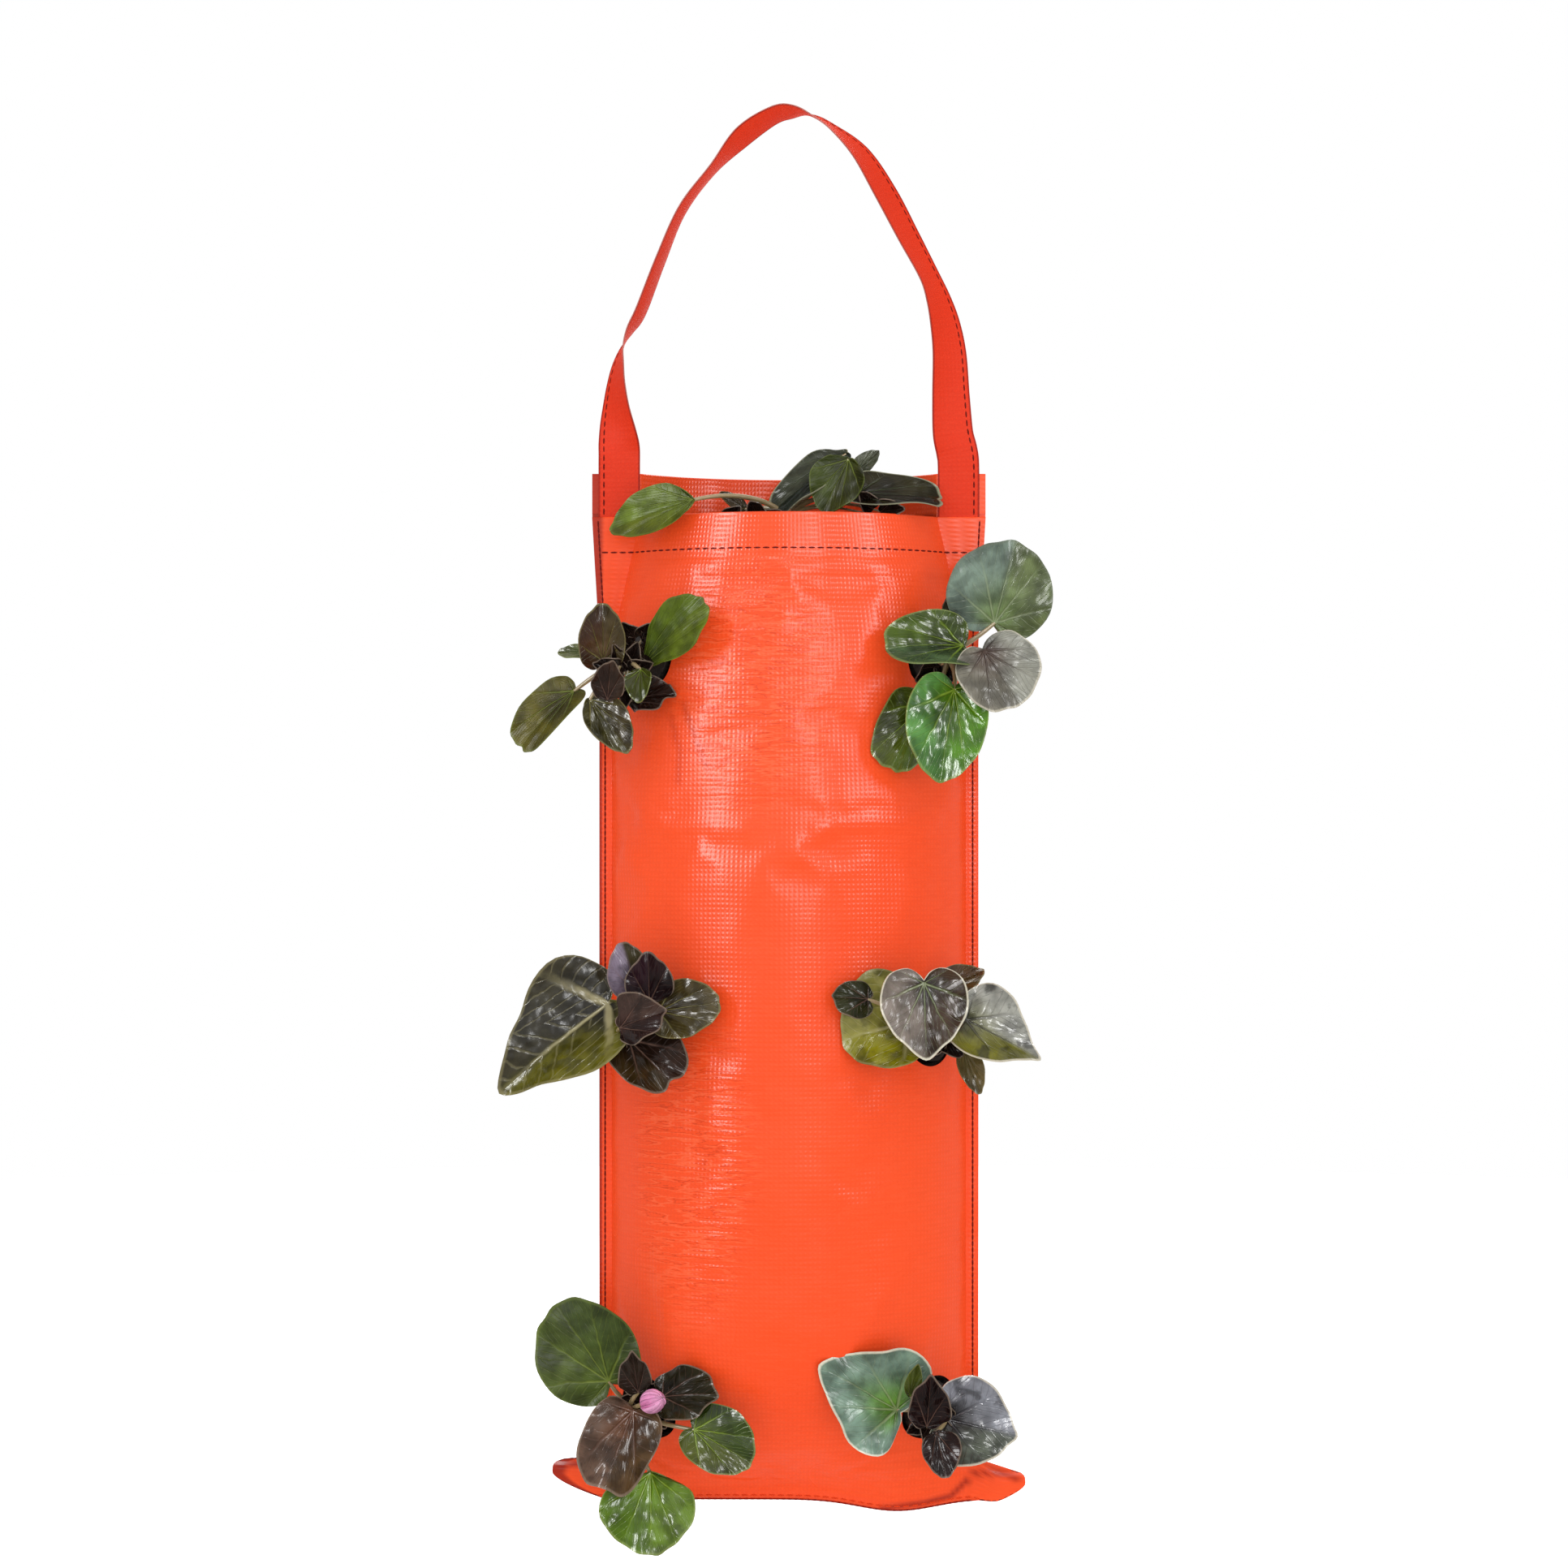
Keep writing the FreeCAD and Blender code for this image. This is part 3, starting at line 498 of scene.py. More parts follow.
def bottom_sag(x, z):
    """How far the bottom hangs below its level line: a low belly right of the middle, and the right ear."""
    belly = SAG_DEEP * math.exp(-((x - SAG_X) / SAG_SPREAD) ** 2)
    belly *= 1 - eased(z, BOTTOM, BOTTOM + SAG_HEIGHT)
    right_ear = EAR_SAG * eased(x, SIDE - 5, SIDE + 13) * (1 - eased(z, BOTTOM + 22, BOTTOM + 60))
    return belly + right_ear


HEM_ROWS = 8
BODY_ROWS = 130
FOOT_ROWS = 30
FOOT_HEIGHT = 40.0


def panel_rows(rim):
    """Height and inward set of each row, from the hem's raw edge over the rim to the bottom."""
    rows = [(rim - HEM + step * HEM / HEM_ROWS, HEM_GAP) for step in range(HEM_ROWS)]
    turned = rim - 0.4 * FOLD_ROUND
    rows += [(turned, HEM_GAP + 0.2), (rim, HEM_GAP / 2), (turned, -0.1)]
    levels = list(np.linspace(rim - 2.5, BOTTOM + FOOT_HEIGHT, BODY_ROWS))
    levels += list(np.linspace(BOTTOM + FOOT_HEIGHT - 2, BOTTOM, FOOT_ROWS))
    return rows + [(float(z), 0.0) for z in levels]


# Sharp folds that the photograph shows, as lines of x and z in millimetres, and how dark the painted shade
# along each one is
EAR_FOLDS = [
    (0.9, [(52, -773), (75, -770), (90, -766), (103, -753)]),
    (0.8, [(103, -753), (118, -753), (127, -757)]),
    (0.9, [(-100, -748), (-122, -748), (-130, -752)]),
]
FRONT_FOLDS = [
    (0.4, [(-57, -328), (-49, -349), (-44, -364)]),
    (0.3, [(-64, -334), (-58, -356), (-60, -372)]),
]
FOLD_WIDE = 1.7


def distance_to(place, start, end):
    """Distance of a point from a straight line between two others."""
    run = end - start
    share = min(max((place - start).dot(run) / run.dot(run), 0.0), 1.0)
    return (place - start - run * share).length


def fold_shade_at(x, z, folds):
    """How dark the painted shade along the folds is at a point of a sheet, from 0 to 1."""
    place = Vector((x, z))
    darkest = 0.0
    for dark, line in folds:
        corners = [Vector(corner) for corner in line]
        away = min(distance_to(place, *pair) for pair in zip(corners, corners[1:]))
        darkest = max(darkest, dark * math.exp(-(away / FOLD_WIDE) ** 2))
    return darkest


def panel(name, side, rim):
    """The front or back sheet, with painted shade along its folds and its bottom edge marked on the points.
    """
    rows = panel_rows(rim)

    def place(column, row):
        z, inward = rows[row]
        across, depth = section_point(column, z, inward)
        return Vector((across, side * depth, z - bottom_sag(across, z))) * MM

    across = run_lengths([section_point(column, BELLY, 0) for column in range(COLUMNS + 1)])
    along = run_lengths([(inward, z) for z, inward in rows])
    sheet = grid_sheet(name, place, across * MM, along * MM)
    # Painted shade on the points: dark along the folds and along the bottom edge
    shade = sheet.data.attributes.new("fold_shade", "FLOAT", "POINT")
    folds = EAR_FOLDS + FRONT_FOLDS if side == FRONT else EAR_FOLDS
    for vertex in sheet.data.vertices:
        height = rows[vertex.index // (COLUMNS + 1)][0] - BOTTOM
        fold_shade = fold_shade_at(vertex.co.x / MM, vertex.co.z / MM, folds)
        shade.data[vertex.index].value = max(fold_shade, math.exp(-height * height))
    return sheet


# Girth and height of each sheet before it is filled, in metres, with the hem
FRONT_FLAT = (0.262, 0.588)
BACK_FLAT = (0.262, 0.612)
front_sheet = panel("front_sheet", FRONT, FRONT_RIM)
back_sheet = panel("back_sheet", BACK, BACK_RIM)
print("sheet grids:", len(front_sheet.data.vertices), len(back_sheet.data.vertices))

# %% [markdown]
# ## Let the soil fill it
# A drawn form is too even. The soil's weight presses the sheet out between its seams, and the sheet
# puckers where the seams hold it. Blender's cloth does this: sewn strips, hem and bottom are pinned,
# the sheet is a little larger than its form, and a light pressure pushes from the inside. Only the
# outward part of the movement is kept, and it is capped, so that the bag keeps the CAD model's size
# and no soil shows through.

# %% Cloth
CLOTH_FRAMES = 24
MOST_MOVE = 4.0 * MM
# Clear of the seams, the hem and the bottom by these, in millimetres
SEAM_MARGIN = 1.0
HEM_MARGIN = 4.0
BOTTOM_MARGIN = 12.0
CLOTH_SETTINGS = {
    "vertex_group_mass": "sewn", "quality": 6, "mass": 0.002, "tension_stiffness": 40,
    "compression_stiffness": 40, "shear_stiffness": 20, "bending_stiffness": 4, "shrink_min": -0.012,
    "use_pressure": True, "uniform_pressure_force": 6.0,
}


def fill_out(sheet, rim):
    """Pins the sewn parts, lets the sheet swell for some frames and keeps the capped result."""
    free = []
    for vertex in sheet.data.vertices:
        x, depth, z = vertex.co / MM
        at_seam = abs(x) > half_width(z) - strip_width(z) - SEAM_MARGIN
        at_end = z > rim - HEM - HEM_MARGIN or z < BOTTOM + BOTTOM_MARGIN
        if not at_seam and not at_end:
            free.append(vertex.index)
    pins = sheet.vertex_groups.new(name="sewn")
    pins.add(list(range(len(sheet.data.vertices))), 1.0, "REPLACE")
    pins.add(free, 0.0, "REPLACE")
    cloth = sheet.modifiers.new("fill", "CLOTH")
    for setting, value in CLOTH_SETTINGS.items():
        setattr(cloth.settings, setting, value)
    cloth.settings.effector_weights.gravity = 0
    cloth.collision_settings.use_collision = False
    cloth.point_cache.frame_end = CLOTH_FRAMES
    start = np.array([vertex.co for vertex in sheet.data.vertices])
    for number in range(1, CLOTH_FRAMES + 1):
        scene.frame_set(number)
    swollen = sheet.evaluated_get(bpy.context.evaluated_depsgraph_get()).data
    move = np.array([vertex.co for vertex in swollen.vertices]) - start
    outward = np.array([vertex.normal for vertex in sheet.data.vertices])
    swell = (move * outward).sum(axis=1)
    capped = MOST_MOVE * np.tanh(np.maximum(swell, 0) / MOST_MOVE)
    sheet.modifiers.remove(cloth)
    sheet.data.vertices.foreach_set("co", (start + outward * capped[:, None]).ravel())
    sheet.data.update()
    print(sheet.name, "swelled by", np.round(np.percentile(swell, (0, 10, 50, 90, 100)) / MM, 1), "mm")


def outward_faces(sheet, side):
    """Turns the sheet's faces to the outside of the bag."""
    middle = sheet.data.polygons[len(sheet.data.polygons) // 2]
    if middle.normal.y * side < 0:
        sheet.data.flip_normals()


for sheet, side in ((front_sheet, FRONT), (back_sheet, BACK)):
    outward_faces(sheet, side)
fill_out(front_sheet, FRONT_RIM)
fill_out(back_sheet, BACK_RIM)
scene.frame_set(1)

# %% [markdown]
# ## Thickness and planting holes
# The sheet gets its half millimetre with a Solidify modifier, as the last step that needs the clean
# grid. The real planting holes are punched. Faces could be deleted for them, which leaves ragged rims, so
# they are cut with cylinders that point along the sheet's own normal.

# %% Thickness and holes
SHEET_MM = 0.5
HOLE_X = 78.0
HOLE_ROWS = (-302.0, -508.0, -714.0)
HOLE_RADIUS = 18.0
SEAM_GAP = 0.05


def apply_modifier(piece, kind, **settings):
    """Adds a modifier with its settings and applies it."""
    bpy.ops.object.select_all(action="DESELECT")
    bpy.context.view_layer.objects.active = piece
    piece.select_set(True)
    added = piece.modifiers.new(kind.lower(), kind)
    for name, value in settings.items():
        setattr(added, name, value)
    bpy.ops.object.modifier_apply(modifier=added.name)


def smooth(piece, degrees=40):
    """Smooth shading, with the edges sharper than the angle kept."""
    bpy.ops.object.select_all(action="DESELECT")
    bpy.context.view_layer.objects.active = piece
    piece.select_set(True)
    bpy.ops.object.shade_smooth_by_angle(angle=math.radians(degrees))


def hole_place(side, row):
    """Middle of a planting hole on the front sheet, in millimetres, and the way it faces."""
    z = HOLE_ROWS[row]
    chord = half_width(z) - strip_width(z)
    radius = (chord ** 2 + bulge(z) ** 2) / (2 * bulge(z))
    rise = math.sqrt((radius + SHEET_MM) ** 2 - HOLE_X ** 2)
    facing = Vector((side * HOLE_X, -rise, 0)).normalized()
    return Vector((side * HOLE_X, radius - bulge(z) - SEAM_GAP - rise, z)), facing


for sheet in (front_sheet, back_sheet):
    apply_modifier(sheet, "SOLIDIFY", thickness=SHEET_MM * MM, offset=0)
for side in (-1, 1):
    for row in range(len(HOLE_ROWS)):
        middle, facing = hole_place(side, row)
        turn = facing.to_track_quat("Z", "Y").to_euler()
        bpy.ops.mesh.primitive_cylinder_add(vertices=48, radius=HOLE_RADIUS * MM, depth=2 * HOLE_RADIUS * MM,
                                            location=middle * MM, rotation=turn)
        cutter = bpy.context.object
        apply_modifier(front_sheet, "BOOLEAN", operation="DIFFERENCE", object=cutter, solver="EXACT")
        bpy.data.objects.remove(cutter)
for sheet, node, flat in ((front_sheet, "front_panel", FRONT_FLAT), (back_sheet, "back_panel", BACK_FLAT)):
    smooth(sheet)
    sheet.data.materials.clear()
    sheet.data.materials.append(bag_sheet)
    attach(sheet, "bag")
    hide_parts(node)
    print(sheet.name, len(sheet.data.polygons), "faces")


# %% [markdown]
# ## Strap
# The handle is one flat strip sewn between the sheets at both sides. It leaves the bag flat, twists
# until it is edge-on, and shows its wide face again over the top. A cloth simulation would untwist it,
# so the strip is laid along the CAD model's smooth line, with a twist at each station.

# %% Smooth lines
def smooth_line(points, steps):
    """A Catmull-Rom line through the points, with that many steps in each run."""
    points = np.array(points, float)
    padded = np.vstack([2 * points[0] - points[1], points, 2 * points[-1] - points[-2]])
    line = []
    for first in range(len(points) - 1):
        a, b, c, d = padded[first:first + 4]
        for t in np.linspace(0, 1, steps, endpoint=False):
            line.append(0.5 * (2 * b + (c - a) * t + (2 * a - 5 * b + 4 * c - d) * t * t
                               + (3 * b - a - 3 * c + d) * t ** 3))
    return np.array(line + [points[-1]])


def even_steps(line, count, reach=3):
    """The line divided into that many equal runs, measured over its first columns."""
    runs = np.linalg.norm(np.diff(line[:, :reach], axis=0), axis=1)
    along = np.concatenate([[0], np.cumsum(runs)])
    wanted = np.linspace(0, along[-1], count + 1)
    return np.column_stack([np.interp(wanted, along, column) for column in line.T]), along[-1]


# %% Strap ribbon
STRAP_X = 94.0
STRAP_RISE = 196.0
STRAP_WIDE = 23.0
STRAP_THICK = 0.6
# Share of the half span, share of the rise above the mouth, and turn of the width in degrees
STRAP_ROUTE = [
    (-1.000, -0.286, 0), (-1.000, -0.150, 0), (-1.000, 0.000, 0), (-1.000, 0.045, 1),
    (-1.006, 0.095, 24), (-1.013, 0.163, 47), (-1.011, 0.234, 62), (-0.998, 0.291, 72),
    (-0.975, 0.340, 84), (-0.930, 0.385, 95), (-0.864, 0.440, 101), (-0.749, 0.583, 100),
    (-0.621, 0.725, 97), (-0.441, 0.840, 96), (-0.270, 0.931, 111), (-0.088, 0.990, 106),
    (0.020, 1.000, 98), (0.132, 0.992, 80), (0.254, 0.957, 73), (0.418, 0.885, 60),
    (0.564, 0.773, 53), (0.696, 0.653, 54), (0.820, 0.540, 57), (0.875, 0.475, 51),
    (0.915, 0.405, 42), (0.942, 0.320, 34), (0.952, 0.200, 24), (0.965, 0.100, 12),
    (0.990, 0.045, 1), (1.000, 0.000, 0), (1.000, -0.150, 0), (1.000, -0.286, 0),
]
RIBBON_ROWS = 360
RIBBON_COLUMNS = 10
# The strap cups by this much where it is free, above the mouth
STRAP_CUP = 0.9
CUP_START = -190
CUP_END = -170
stations = [(share * STRAP_X, 0, -STRAP_RISE + up * STRAP_RISE, twist) for share, up, twist in STRAP_ROUTE]
ribbon_line, ribbon_length = even_steps(smooth_line(stations, 12), RIBBON_ROWS)


def ribbon_frame(row):
    """Middle of the strap at a row, the way its width lies, and the way its face looks."""
    before = ribbon_line[max(row - 1, 0)]
    after = ribbon_line[min(row + 1, RIBBON_ROWS)]
    run = Vector(after[:3] - before[:3]).normalized()
    turn = math.radians(ribbon_line[row][3])
    wide = run.cross(Vector((0, 1, 0))) * math.cos(turn) + Vector((0, 1, 0)) * math.sin(turn)
    return Vector(ribbon_line[row][:3]), wide, run.cross(wide)


def ribbon_point(row, share, proud=0.0):
    """Point on the strap: share runs across it from -1 to 1, and it cups a little where it is free."""
    middle, wide, face = ribbon_frame(row)
    cup = STRAP_CUP * eased(middle.z, CUP_START, CUP_END)
    return middle + wide * (share * STRAP_WIDE / 2) + face * (cup * share * share + proud)


def ribbon_place(column, row):
    """Place of a crossing of the strap's grid, in metres."""
    return ribbon_point(row, 2 * column / RIBBON_COLUMNS - 1) * MM


strap = grid_sheet("strap_ribbon", ribbon_place, np.linspace(0, STRAP_WIDE * MM, RIBBON_COLUMNS + 1),
                   np.linspace(0, ribbon_length * MM, RIBBON_ROWS + 1))
strap.data.materials.clear()
strap.data.materials.append(strap_sheet)
strap.data.materials.append(cut_edge)
apply_modifier(strap, "SOLIDIFY", thickness=STRAP_THICK * MM, offset=0, material_offset_rim=1)
smooth(strap)
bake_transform(strap)
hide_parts("strap_loop", "left_strap_end", "right_strap_end")
print("strap", round(ribbon_length), "mm long")


# %% [markdown]
# ## Stitches
# A lockstitch shows as a row of short dashes: long ones on the hems and the strap, and close ones down
# the sides and along the very edge. An image of dashes would lie flat, so one stitch is modelled as a
# flattened bead, and copies of its mesh are set along each seam, half sunk in the sheet.

# %% Stitch maker
STITCH_PITCH = 5.0
CLOSE_PITCH = 3.5
STITCH_LONG = 3.8
STITCH_WIDE = 0.95
STITCH_HIGH = 0.6

bpy.ops.mesh.primitive_uv_sphere_add(segments=8, ring_count=5, radius=0.5)
stitch = bpy.context.object
stitch.scale = STITCH_WIDE * MM, STITCH_HIGH * MM, STITCH_LONG * MM
bpy.ops.object.transform_apply(scale=True)


def line_length(line):
    """Length of a line through points."""
    return float(np.linalg.norm(np.diff(line, axis=0), axis=1).sum())


def stitch_row(name, line, faces, yarn_used, pitch=STITCH_PITCH):
    """Copies of the stitch along a line in millimetres, each with its flat side on the face below it."""
    count = max(2, round(0.5 + line_length(line) / pitch))
    together = even_steps(np.hstack([line, faces]), count)[0]
    mesh = bmesh.new()
    for here, there in zip(together, together[1:]):
        along = Vector(there[:3] - here[:3]).normalized()
        face = Vector(here[3:6] + there[3:6]).normalized()
        side = along.cross(face).normalized()
        face = side.cross(along)
        middle = Vector((here[:3] + there[:3]) / 2) * MM
        known = len(mesh.verts)
        mesh.from_mesh(stitch.data)
        mesh.verts.ensure_lookup_table()
        for vertex in mesh.verts[known:]:
            vertex.co = middle + side * vertex.co.x + face * vertex.co.y + along * vertex.co.z
    row = bpy.data.objects.new(name, bpy.data.meshes.new(name))
    mesh.to_mesh(row.data)
    mesh.free()
    scene.collection.objects.link(row)
    row.data.materials.append(yarn_used)
    smooth(row, 180)
    print(name, count, "stitches")
    return row


# %% Seam rows
PROUD = 0.32


def level_seam(name, side, z, yarn_used, pitch=STITCH_PITCH):
    """Stitches across a sheet at one height."""
    line = []
    faces = []
    for column in range(1, COLUMNS):
        across, depth = section_point(column, z, -PROUD)
        inner_across, inner_depth = section_point(column, z, 1.0)
        line.append((across, side * depth, z - bottom_sag(across, z)))
        faces.append((across - inner_across, side * (depth - inner_depth), 0))
    row = stitch_row(name, np.array(line), np.array(faces), yarn_used, pitch)
    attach(row, "bag")
    return row


def side_seam(name, side, heights, inset):
    """A close row of stitches down one side, a set distance from the sheet's edge."""
    line = []
    for z in heights:
        across = side * (half_width(z) - inset)
        line.append((across, -layer(z) - PROUD, z - bottom_sag(across, z)))
    faces = np.tile((0.0, -1.0, 0.0), (len(line), 1))
    row = stitch_row(name, np.array(line), faces, thread, CLOSE_PITCH)
    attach(row, "bag")
    return row


STITCH_INSET = 2.5
EDGE_INSET = 0.4
SIDE_INSET = 3.2
EAR_INSET = 1.2
STRAP_INSET = 3.0
for word, side, rim in (("front", FRONT, FRONT_RIM), ("back", BACK, BACK_RIM)):
    hem_row = level_seam(f"{word}_hem_stitches", side, rim - HEM + STITCH_INSET, thread)
    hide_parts(f"{word}_hem_thread")
bottom_row = level_seam("bottom_stitches", FRONT, BOTTOM + STITCH_INSET, matched_thread)
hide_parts("bottom_seam_thread")
level_seam("bottom_edge_stitches", FRONT, BOTTOM + EDGE_INSET, edge_thread, CLOSE_PITCH)
body_heights = np.linspace(FRONT_RIM - 2, BOTTOM + EAR_HEIGHT + 2, 120)
# Heights bunch together at the ear's top, where its edge runs nearly level
ear_heights = BOTTOM + EAR_HEIGHT - 0.02 - (EAR_HEIGHT - 2.0) * np.linspace(0, 1, 90) ** 4
for side, word in ((-1, "left"), (1, "right")):
    side_row = side_seam(f"{word}_side_stitches", side, body_heights, SIDE_INSET)
    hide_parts(f"{word}_seam_thread")
    side_seam(f"{word}_ear_stitches", side, ear_heights, EAR_INSET)
bare_rows = [row for row in range(RIBBON_ROWS + 1) if ribbon_line[row][2] > FRONT_RIM]
EDGE_SHARE = 1 - 2 * STRAP_INSET / STRAP_WIDE
edge_line = np.array([ribbon_point(row, EDGE_SHARE, STRAP_THICK / 2) for row in bare_rows])
edge_faces = np.array([ribbon_frame(row)[2] for row in bare_rows])
strap_stitches = stitch_row("strap_edge_stitches", edge_line, edge_faces, thread)
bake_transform(strap_stitches)
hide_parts("strap_edge_thread")
bpy.data.objects.remove(stitch)

# %% [markdown]
# ## Soil and root plugs
# Potting soil is damp, dark and crumbly: peat fibres with small lumps. The CAD model has smooth solids
# for it. A copy of each is remeshed into small even faces and pushed inward by a cloud pattern, so it
# stays inside the room that the CAD model gives it.

# %% Soil material
soil, soil_tree, soil_shader = new_material("damp_potting_soil")
soil_place = add_node(soil_tree, "ShaderNodeTexCoord").outputs["Object"]
lumps = add_node(soil_tree, "ShaderNodeTexVoronoi", {"Vector": soil_place, "Scale": 1 / (3.5 * MM)})
fibres = random_tone(soil_tree, soil_place, 1 / (5 * MM), 6.0)
soil_colour = blend_colours(soil_tree, fibres, linear("#0D0908"), linear("#33251C"))
soil_bump = relief(soil_tree, lumps.outputs["Distance"], 1.5 * MM)
soil_bump = relief(soil_tree, fibres, 1.0 * MM, soil_bump)
finish_surface(soil_tree, soil_shader, soil_colour, soil_bump, 0.88, 0.25)
print("soil:", soil.name)

# %% Crumbly solids
clouds = bpy.data.textures.new("soil_clouds", "CLOUDS")
clouds.noise_scale = 7 * MM
clouds.noise_depth = 3


def crumbly(node, name, grain, depth):
    """A remeshed copy of a CAD solid with a crumbly surface that only goes inward."""
    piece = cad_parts[node].copy()
    piece.data = piece.data.copy()
    piece.name = name
    piece.parent = None
    for key in list(piece.keys()):
        del piece[key]
    scene.collection.objects.link(piece)
    bpy.ops.object.select_all(action="DESELECT")
    bpy.context.view_layer.objects.active = piece
    piece.select_set(True)
    bpy.ops.object.mode_set(mode="EDIT")
    bpy.ops.mesh.select_all(action="SELECT")
    bpy.ops.mesh.remove_doubles(threshold=1e-5)
    bpy.ops.object.mode_set(mode="OBJECT")
    apply_modifier(piece, "REMESH", mode="VOXEL", voxel_size=grain * MM)
    apply_modifier(piece, "DISPLACE", texture=clouds, texture_coords="LOCAL", strength=depth * MM,
                   mid_level=1.0)
    piece.data.materials.clear()
    piece.data.materials.append(soil)
    smooth(piece, 180)
    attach(piece, "bag")
    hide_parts(node)
    return piece


PLANT_NAMES = ("upper_left", "upper_right", "middle_left", "middle_right", "lower_left", "lower_right",
               "mouth")
soil_fill = crumbly("potting_soil", "soil_fill", grain=3.2, depth=4.0)
for name in PLANT_NAMES:
    crumbly(f"{name}_root_plug", f"{name}_root_ball", grain=1.1, depth=2.2)
print("soil faces:", len(soil_fill.data.polygons))

# %% [markdown]
# ## Leaf surfaces
# The plants are begonias: fleshy, waxy leaves with pale veins that spread from the stalk and a thin
# pale rim. Each leaf carries its own tint from stalk to edge as a colour on its points. The material
# adds what all share: the fan of veins, fine side veins, stains, the rim, a quilted surface and a gloss.
# Painting each leaf would follow the photograph more closely, but a rule serves leaves of every form.
# The leaf's map runs round the edge in one direction and from stalk to edge in the other.

# %% Leaf material
VEIN_SWAY = 0.012


def waxy_leaf(name, vein, main_veins, rim, rim_share, blotch, rough, gloss):
    """A leaf's surface: its own tint, under mottle, veins, stains and a pale rim."""
    material, tree, shader = new_material(name)
    tint = add_node(tree, "ShaderNodeVertexColor", layer_name="tint").outputs["Color"]
    where = add_node(tree, "ShaderNodeSeparateXYZ", {0: add_node(tree, "ShaderNodeUVMap").outputs[0]})
    round_edge = where.outputs[0]
    from_stalk = where.outputs[1]
    solid = add_node(tree, "ShaderNodeTexCoord").outputs["Object"]
    # The main veins fan out and sway a little. Their number is even, so that one of them is the midrib
    wobble = random_tone(tree, solid, 1 / (9 * MM))
    sway = add_node(tree, "ShaderNodeMapRange", {"Value": wobble, "To Min": -VEIN_SWAY, "To Max": VEIN_SWAY})
    fan = combine(tree, "MULTIPLY", combine(tree, "ADD", round_edge, sway.outputs[0]), main_veins)
    spread = combine(tree, "MULTIPLY", combine(tree, "PINGPONG", fan, 0.5), from_stalk)
    main = soft_step(tree, spread, 0.008, 0.045, 1.0, 0.0)
    main = combine(tree, "MULTIPLY", main, soft_step(tree, from_stalk, 0.15, 0.95, 1.0, 0.15))
    # Side veins slant from the main ones towards the edge
    slant = combine(tree, "MULTIPLY", combine(tree, "MULTIPLY_ADD", spread, -1.1, from_stalk), 7.0)
    side = soft_step(tree, combine(tree, "PINGPONG", slant, 0.5), 0.02, 0.12, 0.22, 0.0)
    veins = combine(tree, "MAXIMUM", main, side)
    # Colour: mottled tint, then veins, dark stains and the rim
    shade = soft_step(tree, random_tone(tree, solid, 1 / (14 * MM), 4.0), 0.3, 0.7, 0.55, 1.40)
    tone = add_node(tree, "ShaderNodeVectorMath", {0: tint, "Scale": shade}, operation="SCALE").outputs[0]
    colour = blend_colours(tree, combine(tree, "MULTIPLY", veins, 0.55), tone, linear(vein))
    stain = random_tone(tree, solid, 1 / (11 * MM), 5.0, 0.3)
    stains = soft_step(tree, stain, 0.50, 0.66, 0.0, blotch)
    colour = blend_colours(tree, stains, colour, linear("#120E0C"))
    at_rim = soft_step(tree, from_stalk, 0.955, 0.985, 0.0, rim_share)
    colour = blend_colours(tree, at_rim, colour, linear(rim))
    # Relief: quilted between sunken veins, softly swollen, with fine pores
    bump = relief(tree, spread, 1.8 * MM)
    bump = relief(tree, veins, 0.6 * MM, bump, invert=True)
    bump = relief(tree, random_tone(tree, solid, 1 / (12 * MM), 1.0), 3.0 * MM, bump)
    bump = relief(tree, random_tone(tree, solid, 1 / (1.6 * MM)), 0.05 * MM, bump)
    finish_surface(tree, shader, colour, bump, rough, gloss)
    return material


# Vein colour, main veins, rim colour, share of the rim, share of the stains, roughness, gloss
LEAF_SKINS = {
    "green": waxy_leaf("waxy_green_leaf", "#93AE3A", 8, "#A8B46A", 0.30, 0.35, 0.20, 0.18),
    "grey": waxy_leaf("silvery_grey_leaf", "#96A27E", 8, "#6C7260", 0.40, 0.30, 0.28, 0.12),
    "rimmed": waxy_leaf("pale_rimmed_leaf", "#8E9A6E", 8, "#E2DCC6", 0.75, 0.25, 0.26, 0.16),
    "taupe": waxy_leaf("taupe_leaf", "#3E2C26", 8, "#D8D0BC", 0.55, 0.12, 0.28, 0.15),
    "silver": waxy_leaf("silver_leaf", "#3E3A40", 6, "#D8D0BC", 0.70, 0.65, 0.20, 0.22),
    "maroon": waxy_leaf("dark_maroon_leaf", "#7E6054", 6, "#A08C7A", 0.40, 0.45, 0.20, 0.10),
    "olive": waxy_leaf("olive_leaf", "#8C8448", 8, "#A89C66", 0.30, 0.45, 0.22, 0.17),
    "striped": waxy_leaf("cream_striped_leaf", "#C6BC8E", 4, "#A89E72", 0.30, 0.45, 0.22, 0.15),
    "matt": waxy_leaf("matt_green_leaf", "#7E8C3A", 8, "#8A9A4A", 0.20, 0.25, 0.38, 0.09),
    "dark": waxy_leaf("dark_green_leaf", "#4A5434", 8, "#B0B092", 0.55, 0.40, 0.24, 0.09),
    "petal": waxy_leaf("pink_petal", "#E79AC6", 8, "#F5CBE2", 0.45, 0.0, 0.40, 0.12),
}
print("leaf skins:", len(LEAF_SKINS))

# %% [markdown]
# ## One leaf
# A begonia leaf is heart-shaped and lopsided, with its stalk in the notch. A grid is wrapped round that
# point like a fan: one direction follows the outline from one side of the notch to the other, and the
# other runs out from the stalk. Then the blade is cupped, drooped and ruffled, and set in place by its
# base, its tip and the way it faces, which follow the CAD model. A flat picture of a leaf on a card
# would be lighter, but it has no thickness and shows its trick from the side.

